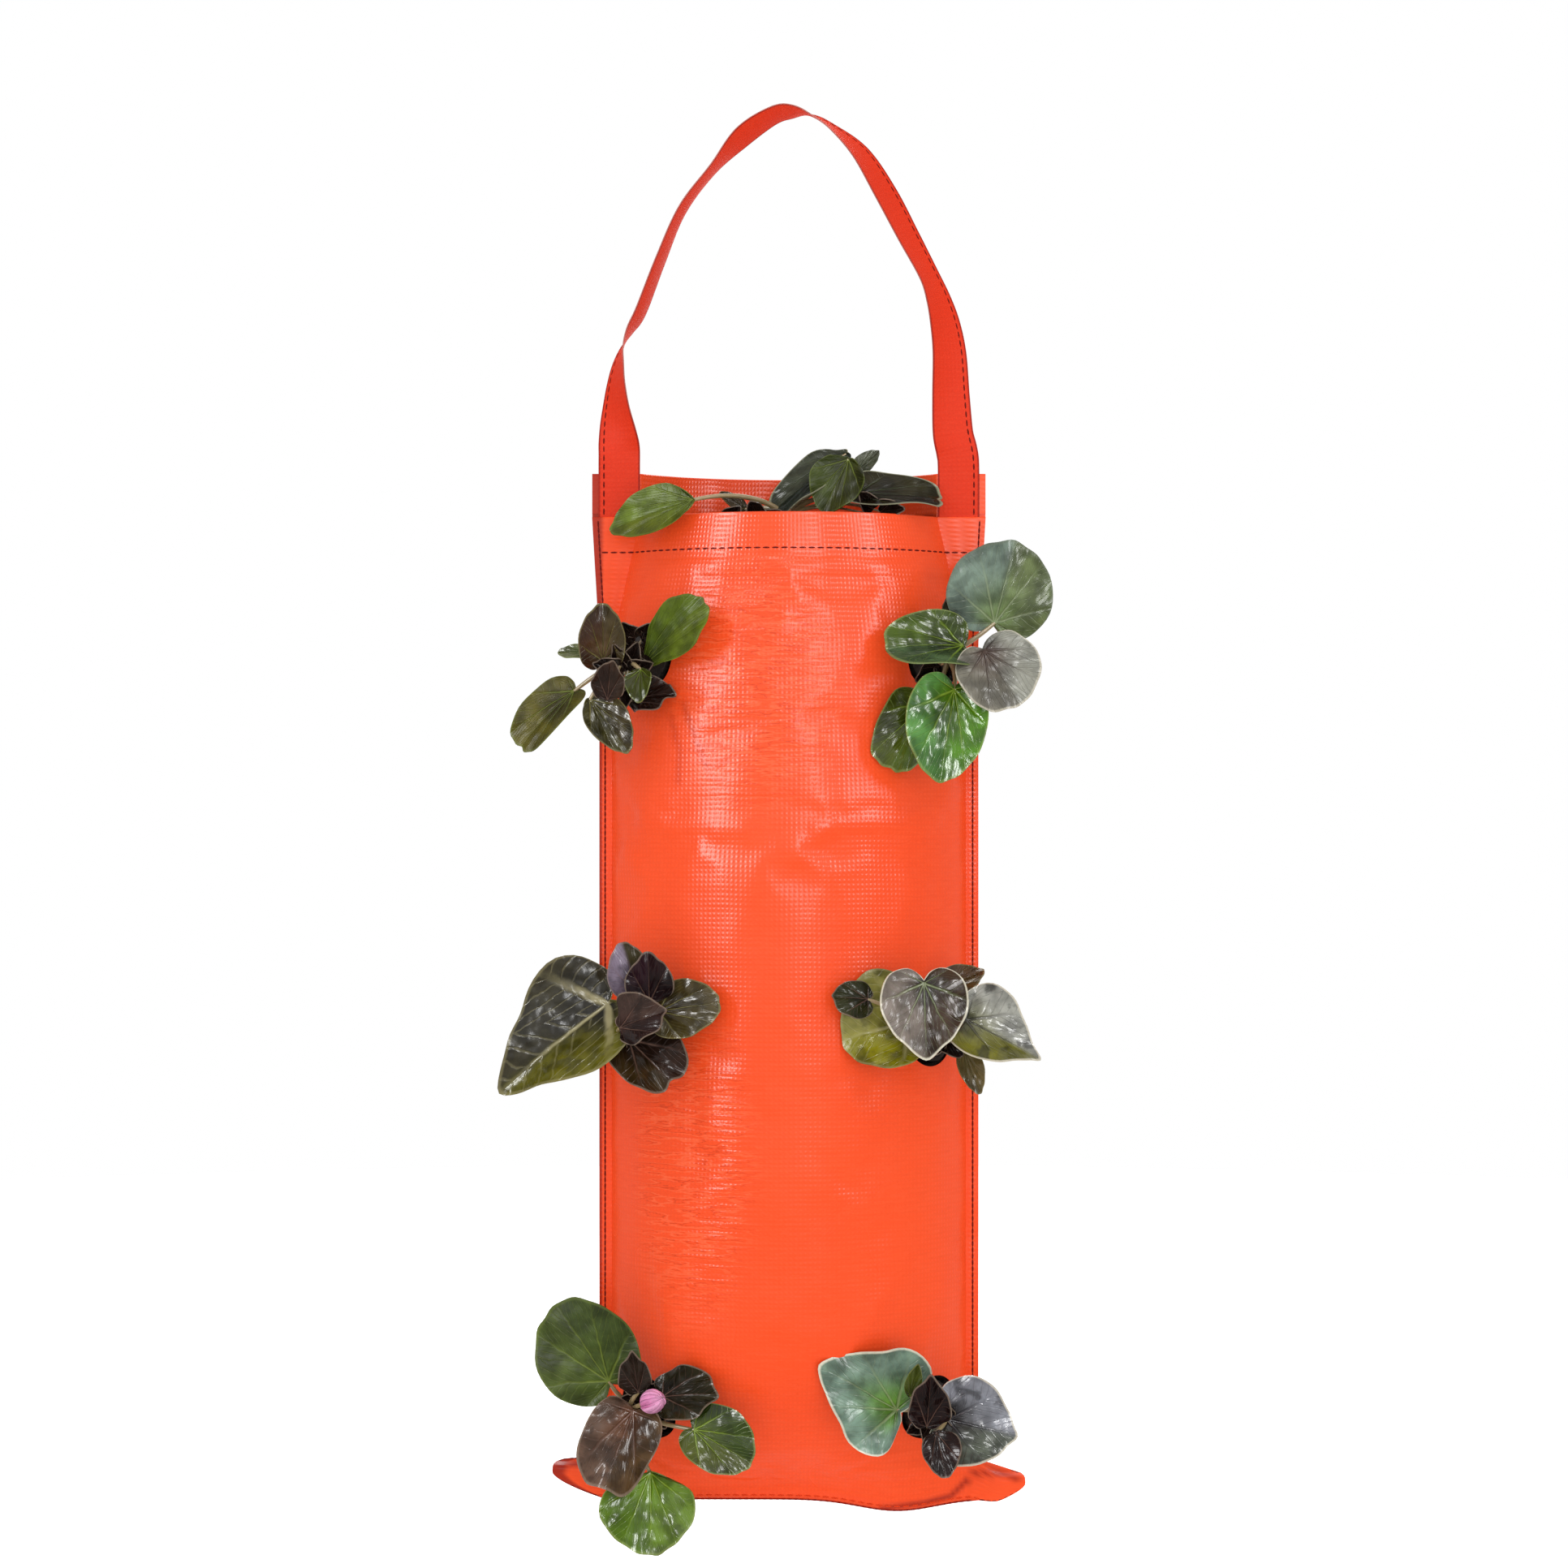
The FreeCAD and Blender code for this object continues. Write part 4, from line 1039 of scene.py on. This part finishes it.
# %% Leaf outlines
# Half outlines from the notch to the tip: share of the length, share of the half width
HEART = [
    (-0.03, 0.0), (-0.14, 0.16), (-0.19, 0.42), (-0.10, 0.78), (0.14, 1.0), (0.42, 0.98),
    (0.70, 0.70), (0.92, 0.24), (1.0, 0.0),
]
ROUND_BLADE = [
    (-0.04, 0.0), (-0.13, 0.22), (-0.13, 0.50), (0.0, 0.82), (0.25, 1.0), (0.55, 0.98),
    (0.83, 0.68), (0.97, 0.28), (1.0, 0.0),
]
OVATE = [
    (-0.02, 0.0), (-0.03, 0.14), (0.02, 0.40), (0.12, 0.72), (0.30, 0.98), (0.52, 0.98),
    (0.76, 0.72), (0.94, 0.30), (1.0, 0.0),
]
POINTED_HEART = [
    (-0.03, 0.0), (-0.12, 0.20), (-0.14, 0.50), (-0.04, 0.84), (0.16, 1.0), (0.40, 0.88),
    (0.66, 0.56), (0.88, 0.22), (1.0, 0.0),
]
BROAD = [
    (-0.03, 0.0), (-0.08, 0.30), (-0.06, 0.66), (0.08, 0.94), (0.35, 1.0), (0.68, 0.94),
    (0.92, 0.72), (1.0, 0.36), (0.98, 0.0),
]
FAN = [
    (-0.02, 0.0), (0.02, 0.20), (0.10, 0.52), (0.24, 0.90), (0.46, 1.0), (0.68, 0.86),
    (0.86, 0.56), (0.98, 0.22), (1.0, 0.0),
]
SPOON = [
    (-0.02, 0.0), (-0.01, 0.10), (0.08, 0.22), (0.26, 0.52), (0.48, 0.88), (0.70, 1.0),
    (0.88, 0.74), (0.98, 0.32), (1.0, 0.0),
]

Leaf = namedtuple("Leaf", "base tip width face outline cup skin near left right")
LEAF_SPOKES = 64
LEAF_RINGS = 12
LEAF_THICK = 0.6
LEAF_PROUD = 0.4
SCALLOPS = 11
SCALLOP_DEEP = 0.008
MIDRIB_ROUND = 0.1
HALF_BLEND = 0.08
# Leaves whose edges are more ruffled than the rest
RUFFLED = {"maroon": 2.2, "rimmed": 1.4, "silver": 1.5}


def leaf_outline(half):
    """Closed outline from the notch round one side to the tip and back, in equal runs."""
    other = [(along, -across) for along, across in half[-2::-1]]
    return even_steps(smooth_line(half + other, 10), LEAF_SPOKES, reach=2)[0]


def leaf_blade(leaf, origin, seed):
    """A shaped leaf in its place. Its form varies a little with the seed."""
    wild = random.Random(seed)
    base = origin + Vector(leaf.base)
    run = Vector(leaf.tip) - Vector(leaf.base)
    length = run.length
    run.normalize()
    face = Vector(leaf.face)
    face = (face - run * face.dot(run)).normalized()
    across = run.cross(face)
    half = leaf.width / 2
    outline = leaf_outline(leaf.outline)
    lean = wild.uniform(-0.10, 0.10)
    droop = wild.uniform(0.06, 0.16) * length
    ruffle = wild.uniform(0.02, 0.045) * leaf.width * RUFFLED.get(leaf.skin, 1.0)
    phase = wild.uniform(0, math.tau)
    waves = wild.choice((4, 5, 6))
    twist = wild.uniform(-0.22, 0.22)

    def place(column, row):
        share = row / LEAF_RINGS
        along, aside = outline[column] * share
        scallop = math.sin(column / LEAF_SPOKES * math.tau * SCALLOPS + phase)
        scallop = 1 + SCALLOP_DEEP * share ** 4 * scallop
        along *= scallop
        aside *= scallop * (1 + lean * math.copysign(1, aside))
        crease = math.hypot(aside, MIDRIB_ROUND) - MIDRIB_ROUND
        lift = leaf.cup * half * (0.7 * crease + 0.4 * aside * aside) - droop * max(along, 0) ** 2.5
        lift += twist * half * aside * max(along, 0)
        lift += ruffle * share ** 3 * math.sin(waves * math.tau * column / LEAF_SPOKES + phase)
        return (base + run * (along * length) + across * (aside * half) + face * (lift + LEAF_PROUD)) * MM

    blade = grid_sheet("leaf", place, np.linspace(0, 1, LEAF_SPOKES + 1), np.linspace(0, 1, LEAF_RINGS + 1))
    tint = blade.data.color_attributes.new("tint", "FLOAT_COLOR", "POINT")
    near, left, right = (np.array(linear(colour)) for colour in (leaf.near, leaf.left, leaf.right))
    for index in range(len(blade.data.vertices)):
        column = index % (LEAF_SPOKES + 1)
        share = index // (LEAF_SPOKES + 1) / LEAF_RINGS
        half_mix = between(outline[column][1] * share, -HALF_BLEND, HALF_BLEND, 0, 1)
        far = left * (1 - half_mix) + right * half_mix
        tint.data[index].color = near + (far - near) * eased(share, 0.05, 0.75)
    bpy.ops.object.mode_set(mode="EDIT")
    bpy.ops.mesh.select_all(action="SELECT")
    bpy.ops.mesh.remove_doubles(threshold=1e-7)
    bpy.ops.object.mode_set(mode="OBJECT")
    if blade.data.polygons[len(blade.data.polygons) // 2].normal.dot(face) < 0:
        blade.data.flip_normals()
    blade.data.materials.append(LEAF_SKINS[leaf.skin])
    apply_modifier(blade, "SOLIDIFY", thickness=LEAF_THICK * MM, offset=0)
    return blade


print("leaf grid:", LEAF_SPOKES, "by", LEAF_RINGS)


# %% [markdown]
# ## Plants
# Each plant is a row of leaves round its hole: base and tip from the middle of the hole in millimetres,
# width, the way its face looks, outline, rise of its edges, surface, and its tints near the stalk and at
# the left and right edges. The places follow the CAD model, and the tints follow the photograph. A table
# keeps every leaf open to change, where sculpted leaves would be fixed.

# %% Plant tables
PLANTS = {
    "upper_left": (-1, 0, "olive_leaf", [
        Leaf((-2, -14, -6), (29, -42, 28), 32, (-0.4, -0.9, 0.2), SPOON, 0.3,
             "matt", "#34420A", "#4A5A10", "#5A6814"),
        Leaf((-23, -18, -3), (-22, -32, 26), 25, (0.1, -0.9, 0.3), ROUND_BLADE, 0.3,
             "olive", "#5A4630", "#361F12", "#40341E"),
        Leaf((-39, -8, -19), (-70, -16, -47), 27, (-0.3, -0.8, 0.5), BROAD, 0.3,
             "matt", "#403A0E", "#4A4412", "#524C16"),
        Leaf((-33, 2, 2), (-49, 6, 4), 12, (-0.2, -0.6, 0.8), ROUND_BLADE, 0.1,
             "green", "#4C5430", "#5C623A", "#5C623A"),
        Leaf((-30, -20, -24), (-8, -32, -52), 23, (0, -0.9, 0.3), OVATE, 0.3,
             "olive", "#28240C", "#362C0E", "#34300C"),
        Leaf((-8, -12, -25), (15, -20, -18), 24, (0, -0.8, 0.6), OVATE, 0.25,
             "maroon", "#1A0C08", "#26120A", "#1E0E08"),
        Leaf((-2, -26, -8), (-3, -38, -25), 15, (-0.2, -0.8, 0.5), OVATE, 0.4,
             "green", "#302E08", "#3A400E", "#34360A"),
        Leaf((-20, -28, -24), (-18, -40, -4), 18, (0, -0.9, 0.3), OVATE, 0.2,
             "maroon", "#1E120E", "#2A1C16", "#3A2A20"),
    ]),
    "upper_right": (1, 0, "grey_leaf", [
        Leaf((34, -12, 18), (45, -22, 61), 57, (0.1, -0.95, 0.2), ROUND_BLADE, 0.25,
             "grey", "#5E7044", "#6C7C70", "#5E6A44"),
        Leaf((27, -36, 2), (46, -44, -27), 46, (0.15, -0.95, 0.25), ROUND_BLADE, 0.2,
             "taupe", "#43342C", "#7C7C72", "#726E62"),
        Leaf((16, -24, 5), (-25, -38, 6), 38, (-0.1, -0.85, 0.5), BROAD, 0.5,
             "green", "#1E2A08", "#44583A", "#3C4E10"),
        Leaf((11, -34, -19), (3, -48, -67), 44, (0.1, -0.9, 0.3), ROUND_BLADE, 0.35,
             "green", "#466808", "#42700C", "#4C7A3A"),
        Leaf((-3, -24, -26), (-24, -34, -60), 34, (-0.1, -0.95, 0.25), BROAD, 0.3,
             "green", "#34460A", "#3A4C0A", "#444E10"),
        Leaf((16, -6, 14), (9, -6, 34), 15, (-0.3, -0.95, 0.1), OVATE, 0.2,
             "maroon", "#1E1C14", "#2A281C", "#26261A"),
    ]),
    "middle_left": (-1, 1, "maroon_leaf", [
        Leaf((-20, -14, 17), (-81, -24, -28), 71, (-0.3, -0.85, 0.4), POINTED_HEART, 0.5,
             "striped", "#1E1A12", "#565208", "#2E2A1C"),
        Leaf((-3, -22, 21), (-12, -28, 51), 25, (0, -0.95, 0.25), OVATE, 0.35,
             "maroon", "#2E222C", "#7E7282", "#332C10"),
        Leaf((8, -32, 14), (40, -44, 20), 32, (0.1, -0.95, 0.3), ROUND_BLADE, 0.15,
             "olive", "#261A08", "#3E341A", "#42381A"),
        Leaf((-8, -28, -2), (15, -40, -23), 38, (0, -0.95, 0.3), BROAD, 0.3,
             "maroon", "#1A0C08", "#2A1A12", "#32240F"),
        Leaf((3, -34, 19), (3, -42, 46), 26, (0.1, -0.95, 0.2), OVATE, 0.35,
             "maroon", "#1A0E12", "#221218", "#1E1012"),
        Leaf((-12, -44, 6), (11, -56, 16), 29, (0, -0.9, 0.4), OVATE, 0.45,
             "maroon", "#2E1C18", "#40302A", "#241412"),
    ]),
    "middle_right": (1, 1, "grey_leaf", [
        Leaf((-6, -46, 30), (-5, -56, -10), 46, (0, -1, 0.1), HEART, 0.35,
             "rimmed", "#221610", "#33200F", "#756A62"),
        Leaf((17, -28, 9), (58, -34, -10), 46, (0.2, -0.9, 0.4), POINTED_HEART, 0.4,
             "silver", "#6A6A4C", "#92928A", "#646212"),
        Leaf((-13, -28, 8), (-49, -38, 0), 54, (-0.2, -0.9, 0.3), ROUND_BLADE, 0.3,
             "striped", "#5E5A0C", "#78740E", "#868242"),
        Leaf((-36, -40, 21), (-54, -46, 23), 21, (-0.1, -0.9, 0.3), ROUND_BLADE, 0.1,
             "maroon", "#1E1E0C", "#262812", "#22240E"),
        Leaf((1, -14, 22), (28, -12, 36), 19, (0, -0.8, 0.5), OVATE, 0.2,
             "olive", "#44280E", "#4E3216", "#463416"),
        Leaf((16, -18, -6), (25, -24, -31), 14, (0, -0.95, 0.2), OVATE, 0.2,
             "olive", "#5A4E2E", "#564828", "#504426"),
    ]),
    "lower_left": (-1, 2, "green_leaf", [
        Leaf((-20, -22, 18), (-48, -30, 60), 54, (-0.2, -0.95, 0.2), ROUND_BLADE, 0.15,
             "matt", "#4A5A22", "#445024", "#3A4620"),
        Leaf((-6, -36, 4), (-22, -48, -36), 41, (-0.1, -0.9, 0.4), BROAD, 0.3,
             "maroon", "#52301A", "#4C3822", "#584438"),
        Leaf((3, -32, -30), (4, -44, -72), 52, (0, -0.9, 0.4), FAN, 0.2,
             "green", "#64861E", "#5A7420", "#466204"),
        Leaf((10, -32, 11), (38, -46, 16), 30, (0.1, -0.9, 0.4), ROUND_BLADE, 0.1,
             "maroon", "#160E06", "#201C0A", "#2A2614"),
        Leaf((27, -42, -5), (58, -50, -21), 35, (0.1, -0.95, 0.3), ROUND_BLADE, 0.2,
             "green", "#3C4816", "#263406", "#3E4410"),
        Leaf((-3, -40, 15), (-6, -52, 36), 18, (0, -0.95, 0.3), OVATE, 0.2,
             "maroon", "#221812", "#2E241C", "#2A2018"),
    ]),
    "lower_right": (1, 2, "grey_leaf", [
        Leaf((-20, -31, 4), (-61, -48, 30), 62, (-0.1, -0.97, 0.15), POINTED_HEART, 0.25,
             "rimmed", "#5A8424", "#6C8474", "#667C6C"),
        Leaf((8, -28, -2), (45, -36, -9), 50, (0.25, -0.9, 0.3), HEART, 0.35,
             "silver", "#2A2424", "#82848C", "#50564A"),
        Leaf((-4, -42, -3), (-2, -56, 25), 23, (0.1, -0.95, 0.2), OVATE, 0.4,
             "maroon", "#120808", "#1A0E0E", "#160A0A"),
        Leaf((1, -44, -6), (6, -56, -28), 21, (0, -0.9, 0.3), OVATE, 0.4,
             "maroon", "#180A0A", "#22100E", "#1C0C0A"),
        Leaf((-13, -46, 14), (-9, -52, 31), 9, (0, -0.95, 0.2), OVATE, 0.2,
             "green", "#363810", "#3C4412", "#3C4412"),
    ]),
    "mouth": (0, 0, "green_leaf", [
        Leaf((-52, -35, 7), (-100, -20, -7), 28, (0, -0.9, 0.4), FAN, 0.2,
             "matt", "#505E1C", "#525A10", "#5A6A22"),
        Leaf((32, 2, 35), (-15, -4, 2), 30, (-0.4, -0.7, 0.6), OVATE, 0.3,
             "dark", "#1E2218", "#121A10", "#3A3E30"),
        Leaf((33, -12, 31), (18, -18, 2), 31, (-0.2, -0.95, 0.2), OVATE, 0.3,
             "matt", "#262C06", "#303406", "#343E0E"),
        Leaf((37, 9, 25), (50, 8, 38), 11, (0.2, -0.8, 0.5), OVATE, 0.3,
             "grey", "#464A38", "#4E5240", "#464A38"),
        Leaf((36, -13, 11), (84, -15, 13), 27, (0.1, -0.7, 0.7), BROAD, 0.3,
             "dark", "#16120A", "#26220F", "#1C1408"),
        Leaf((-24, 8, 5), (-38, 6, 15), 9, (0, -0.8, 0.5), OVATE, 0.15,
             "olive", "#30261A", "#3A2E1E", "#36281A"),
    ]),
}


def plant_origin(name):
    """Point that a plant's leaves are measured from, in millimetres."""
    side, row = PLANTS[name][:2]
    if name == "mouth":
        return Vector((0, 0, FRONT_RIM))
    return hole_place(side, row)[0]


def join_pieces(pieces, name):
    """Joins separate meshes into one piece."""
    bpy.ops.object.select_all(action="DESELECT")
    for piece in pieces:
        piece.select_set(True)
    bpy.context.view_layer.objects.active = pieces[0]
    bpy.ops.object.join()
    joined = bpy.context.object
    joined.name = name
    return joined


print("plants:", len(PLANTS), "with", sum(len(plant[3]) for plant in PLANTS.values()), "leaves")


# %% [markdown]
# Small dark leaves, still folded, crowd round each crown and hide the hole. They differ little, so a
# rule sets them: each one leans out from the crown at the next turn of a fan, a little at random. Each
# has a thin stalk of its own.

# %% Leaves
# Middle of each group of young leaves from the plant's own point, and how many
YOUNG = {
    "upper_left": [((-10, -6, -10), 7), ((-4, -2, 8), 4)],
    "upper_right": [((6, -4, -4), 4)],
    "middle_left": [((-1, -14, 4), 8)],
    "middle_right": [((4, -6, 2), 5)],
    "lower_left": [((0, -10, 6), 6)],
    "lower_right": [((0, -12, -2), 6)],
    "mouth": [((-36, -8, -6), 3), ((-16, -8, -6), 4), ((48, -4, 2), 3)],
}


YOUNG_CUP = 0.7
YOUNG_TINTS = ("#2A1C16", "#140A08", "#1C120E")


def young_leaf(middle, turn, wild):
    """A small folded leaf that leans out from the crown."""
    out = Vector((math.cos(turn), 0, math.sin(turn)))
    base = Vector(middle) + out * 3 + Vector((0, -8, 0))
    tip = Vector(middle) + out * wild.uniform(12, 18) + Vector((0, -wild.uniform(14, 22), 0))
    face = (-0.5 * out.x, -1, -0.5 * out.z)
    return Leaf(base, tip, wild.uniform(9, 14), face, OVATE, YOUNG_CUP, "maroon", *YOUNG_TINTS)


young = {}
for number, (name, (side, row, slot, leaves)) in enumerate(PLANTS.items()):
    origin = plant_origin(name)
    wild = random.Random(number)
    young[name] = []
    for middle, count in YOUNG[name]:
        turns = [math.tau * (index + wild.random() / 2) / count for index in range(count)]
        young[name] += [young_leaf(middle, turn, wild) for turn in turns]
    together = leaves + young[name]
    blades = [leaf_blade(leaf, origin, 100 * number + index) for index, leaf in enumerate(together)]
    foliage = join_pieces(blades, f"{name}_foliage")
    smooth(foliage, 60)
    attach(foliage, "bag")
    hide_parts(f"{name}_leaves")
    print(foliage.name, len(blades), "leaves")

# %% [markdown]
# ## Stalks
# Begonia stalks are juicy and pale, in olive and a brownish pink. Cylinders would be stiff, so each one
# is a short curve with a round profile that thins towards the leaf and bows out of the hole on its way.
# The curves of a plant become one mesh.

# %% Stalk material
stalk_skin, stalk_tree, stalk_shader = new_material("juicy_stalk")
stalk_place = add_node(stalk_tree, "ShaderNodeTexCoord").outputs["Object"]
stalk_tone = random_tone(stalk_tree, stalk_place, 1 / (8 * MM), 3.0)
stalk_colour = blend_colours(stalk_tree, stalk_tone, linear("#7E7440"), linear("#A88C6C"))
stalk_tree.links.new(stalk_colour, stalk_shader.inputs["Base Color"])
stalk_tree.links.new(relief(stalk_tree, stalk_tone, 0.4 * MM), stalk_shader.inputs["Normal"])
stalk_shader.inputs["Roughness"].default_value = 0.4
print("stalks:", stalk_skin.name)

# %% Stalks
PLUG_PROUD = 2.0
CROWN_LONG = 12.0
CROWN_SIZE = Vector((10, 10, 14))
CROWN_RISE = 5
KNOB_HIGH = 1.2
KNOBS_PER_METRE = 180
SOIL_TOP = -236.0
MOUTH_PLANT_BACK = 5.0
STALK_FOOT = 1.8
STALK_TIP = 1.0
STALK_BOW = 0.22
YOUNG_SLENDER = 0.5
# Where along the crown the first stalk starts, each next one, and all of the young leaves' stalks
FIRST_STALK = 0.3
NEXT_STALK = 0.085
YOUNG_STALK = 0.5
BUD_PLACE = Vector((5, -52, 12))


def stalk(start, end, facing, slender=1.0):
    """A tapered curve from the crown to a leaf's base, in millimetres."""
    reach = (end - start).length
    bow = facing * (STALK_BOW * reach)
    points = [start, start + bow, start.lerp(end, 0.45) + bow, start.lerp(end, 0.8) + bow * 0.4, end]
    bpy.ops.object.select_all(action="DESELECT")
    bpy.ops.curve.primitive_nurbs_path_add()
    made = bpy.context.object
    radii = np.linspace(STALK_FOOT, STALK_TIP, len(points))
    for point, place, radius in zip(made.data.splines[0].points, points, radii):
        point.co = (*(place * MM), 1)
        point.radius = radius * slender
    made.data.bevel_depth = MM
    made.data.bevel_resolution = 3
    made.data.use_fill_caps = True
    bpy.ops.object.convert(target="MESH")
    return bpy.context.object


def crown(foot, facing):
    """The knobbly short stem that all stalks of a plant grow from."""
    turn = facing.to_track_quat("Z", "Y").to_euler()
    bpy.ops.object.select_all(action="DESELECT")
    middle = (foot + facing * CROWN_RISE) * MM
    bpy.ops.mesh.primitive_ico_sphere_add(subdivisions=4, radius=0.5, location=middle, rotation=turn)
    knob = bpy.context.object
    knob.scale = CROWN_SIZE * MM
    bpy.ops.object.transform_apply(location=True, rotation=True, scale=True)
    sideways = facing.cross(Vector((0, 0.2, 1)))
    for vertex in knob.data.vertices:
        vertex.co += sideways * (noise.noise(vertex.co * KNOBS_PER_METRE) * KNOB_HIGH * MM)
    return knob


def plant_foot(name):
    """Where a plant's crown stands on its root plug, and the way it grows."""
    side, row = PLANTS[name][:2]
    if name == "mouth":
        return Vector((0, MOUTH_PLANT_BACK, SOIL_TOP + PLUG_PROUD)), Vector((0, 0, 1))
    middle, facing = hole_place(side, row)
    return middle + facing * PLUG_PROUD, facing


for name, (side, row, slot, leaves) in PLANTS.items():
    origin = plant_origin(name)
    foot, facing = plant_foot(name)
    ends = [origin + Vector(leaf.base) for leaf in leaves]
    if name == "lower_left":
        ends.append(origin + BUD_PLACE + Vector((0, 5, 0)))
    shoots = [crown(foot, facing)]
    for index, end in enumerate(ends):
        start = foot + facing * (CROWN_LONG * (FIRST_STALK + NEXT_STALK * index))
        shoots.append(stalk(start, end, facing))
    for leaf in young[name]:
        start = foot + facing * (CROWN_LONG * YOUNG_STALK)
        shoots.append(stalk(start, origin + leaf.base, facing, YOUNG_SLENDER))
    stalks = join_pieces(shoots, f"{name}_stalks")
    stalks.data.materials.clear()
    stalks.data.materials.append(stalk_skin)
    smooth(stalks, 60)
    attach(stalks, "bag")
    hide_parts(f"{name}_stems")
    print(stalks.name, len(shoots) - 1, "stalks")

# %% [markdown]
# ## Flower bud
# One pink bud is about to open on the lower left plant. Its petals are shells of a ball that wrap round
# each other: each one starts under the last and stands off a little at its free edge, which is paler.

# %% Bud
PETALS = 3
PETAL_SPAN = math.radians(215)
PETAL_COLUMNS = 28
PETAL_ROWS = 18
PETAL_THICK = 0.5
BUD_RADIUS = 6.2
BUD_LONG = 1.15
bud_middle = plant_origin("lower_left") + BUD_PLACE
bud_axis = Vector((0.75, -0.55, 0.35)).normalized()
bud_side = bud_axis.cross(Vector((0, 0, 1))).normalized()
bud_up = bud_side.cross(bud_axis)


def petal_shell(number):
    """One petal: a part of a ball from the bud's foot nearly to its top, which opens at one edge."""
    def place(column, row):
        share = column / PETAL_COLUMNS
        turn = math.tau * number / PETALS + PETAL_SPAN * share
        rise = math.pi * (0.03 + 0.95 * row / PETAL_ROWS)
        radius = BUD_RADIUS * (0.90 + 0.14 * share)
        level = -math.cos(rise) * radius * BUD_LONG
        out = (bud_side * math.cos(turn) + bud_up * math.sin(turn)) * (math.sin(rise) * radius)
        return (bud_middle + bud_axis * level + out) * MM

    across = np.linspace(0, 1, PETAL_COLUMNS + 1)
    along = np.linspace(0, 1, PETAL_ROWS + 1)
    shell = grid_sheet("petal", place, across, along)
    tint = shell.data.color_attributes.new("tint", "FLOAT_COLOR", "POINT")
    deep = np.array(linear("#C05C92"))
    pale = np.array(linear("#E9A3CB"))
    for index in range(len(shell.data.vertices)):
        share = max(across[index % len(across)], along[index // len(across)])
        tint.data[index].color = deep + (pale - deep) * eased(share, 0.35, 1.0)
    shell.data.materials.append(LEAF_SKINS["petal"])
    apply_modifier(shell, "SOLIDIFY", thickness=PETAL_THICK * MM, offset=0)
    return shell


bud = join_pieces([petal_shell(number) for number in range(PETALS)], "pink_bud")
smooth(bud, 60)
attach(bud, "bag")
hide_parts("flower_bud")
print(bud.name, PETALS, "petals")
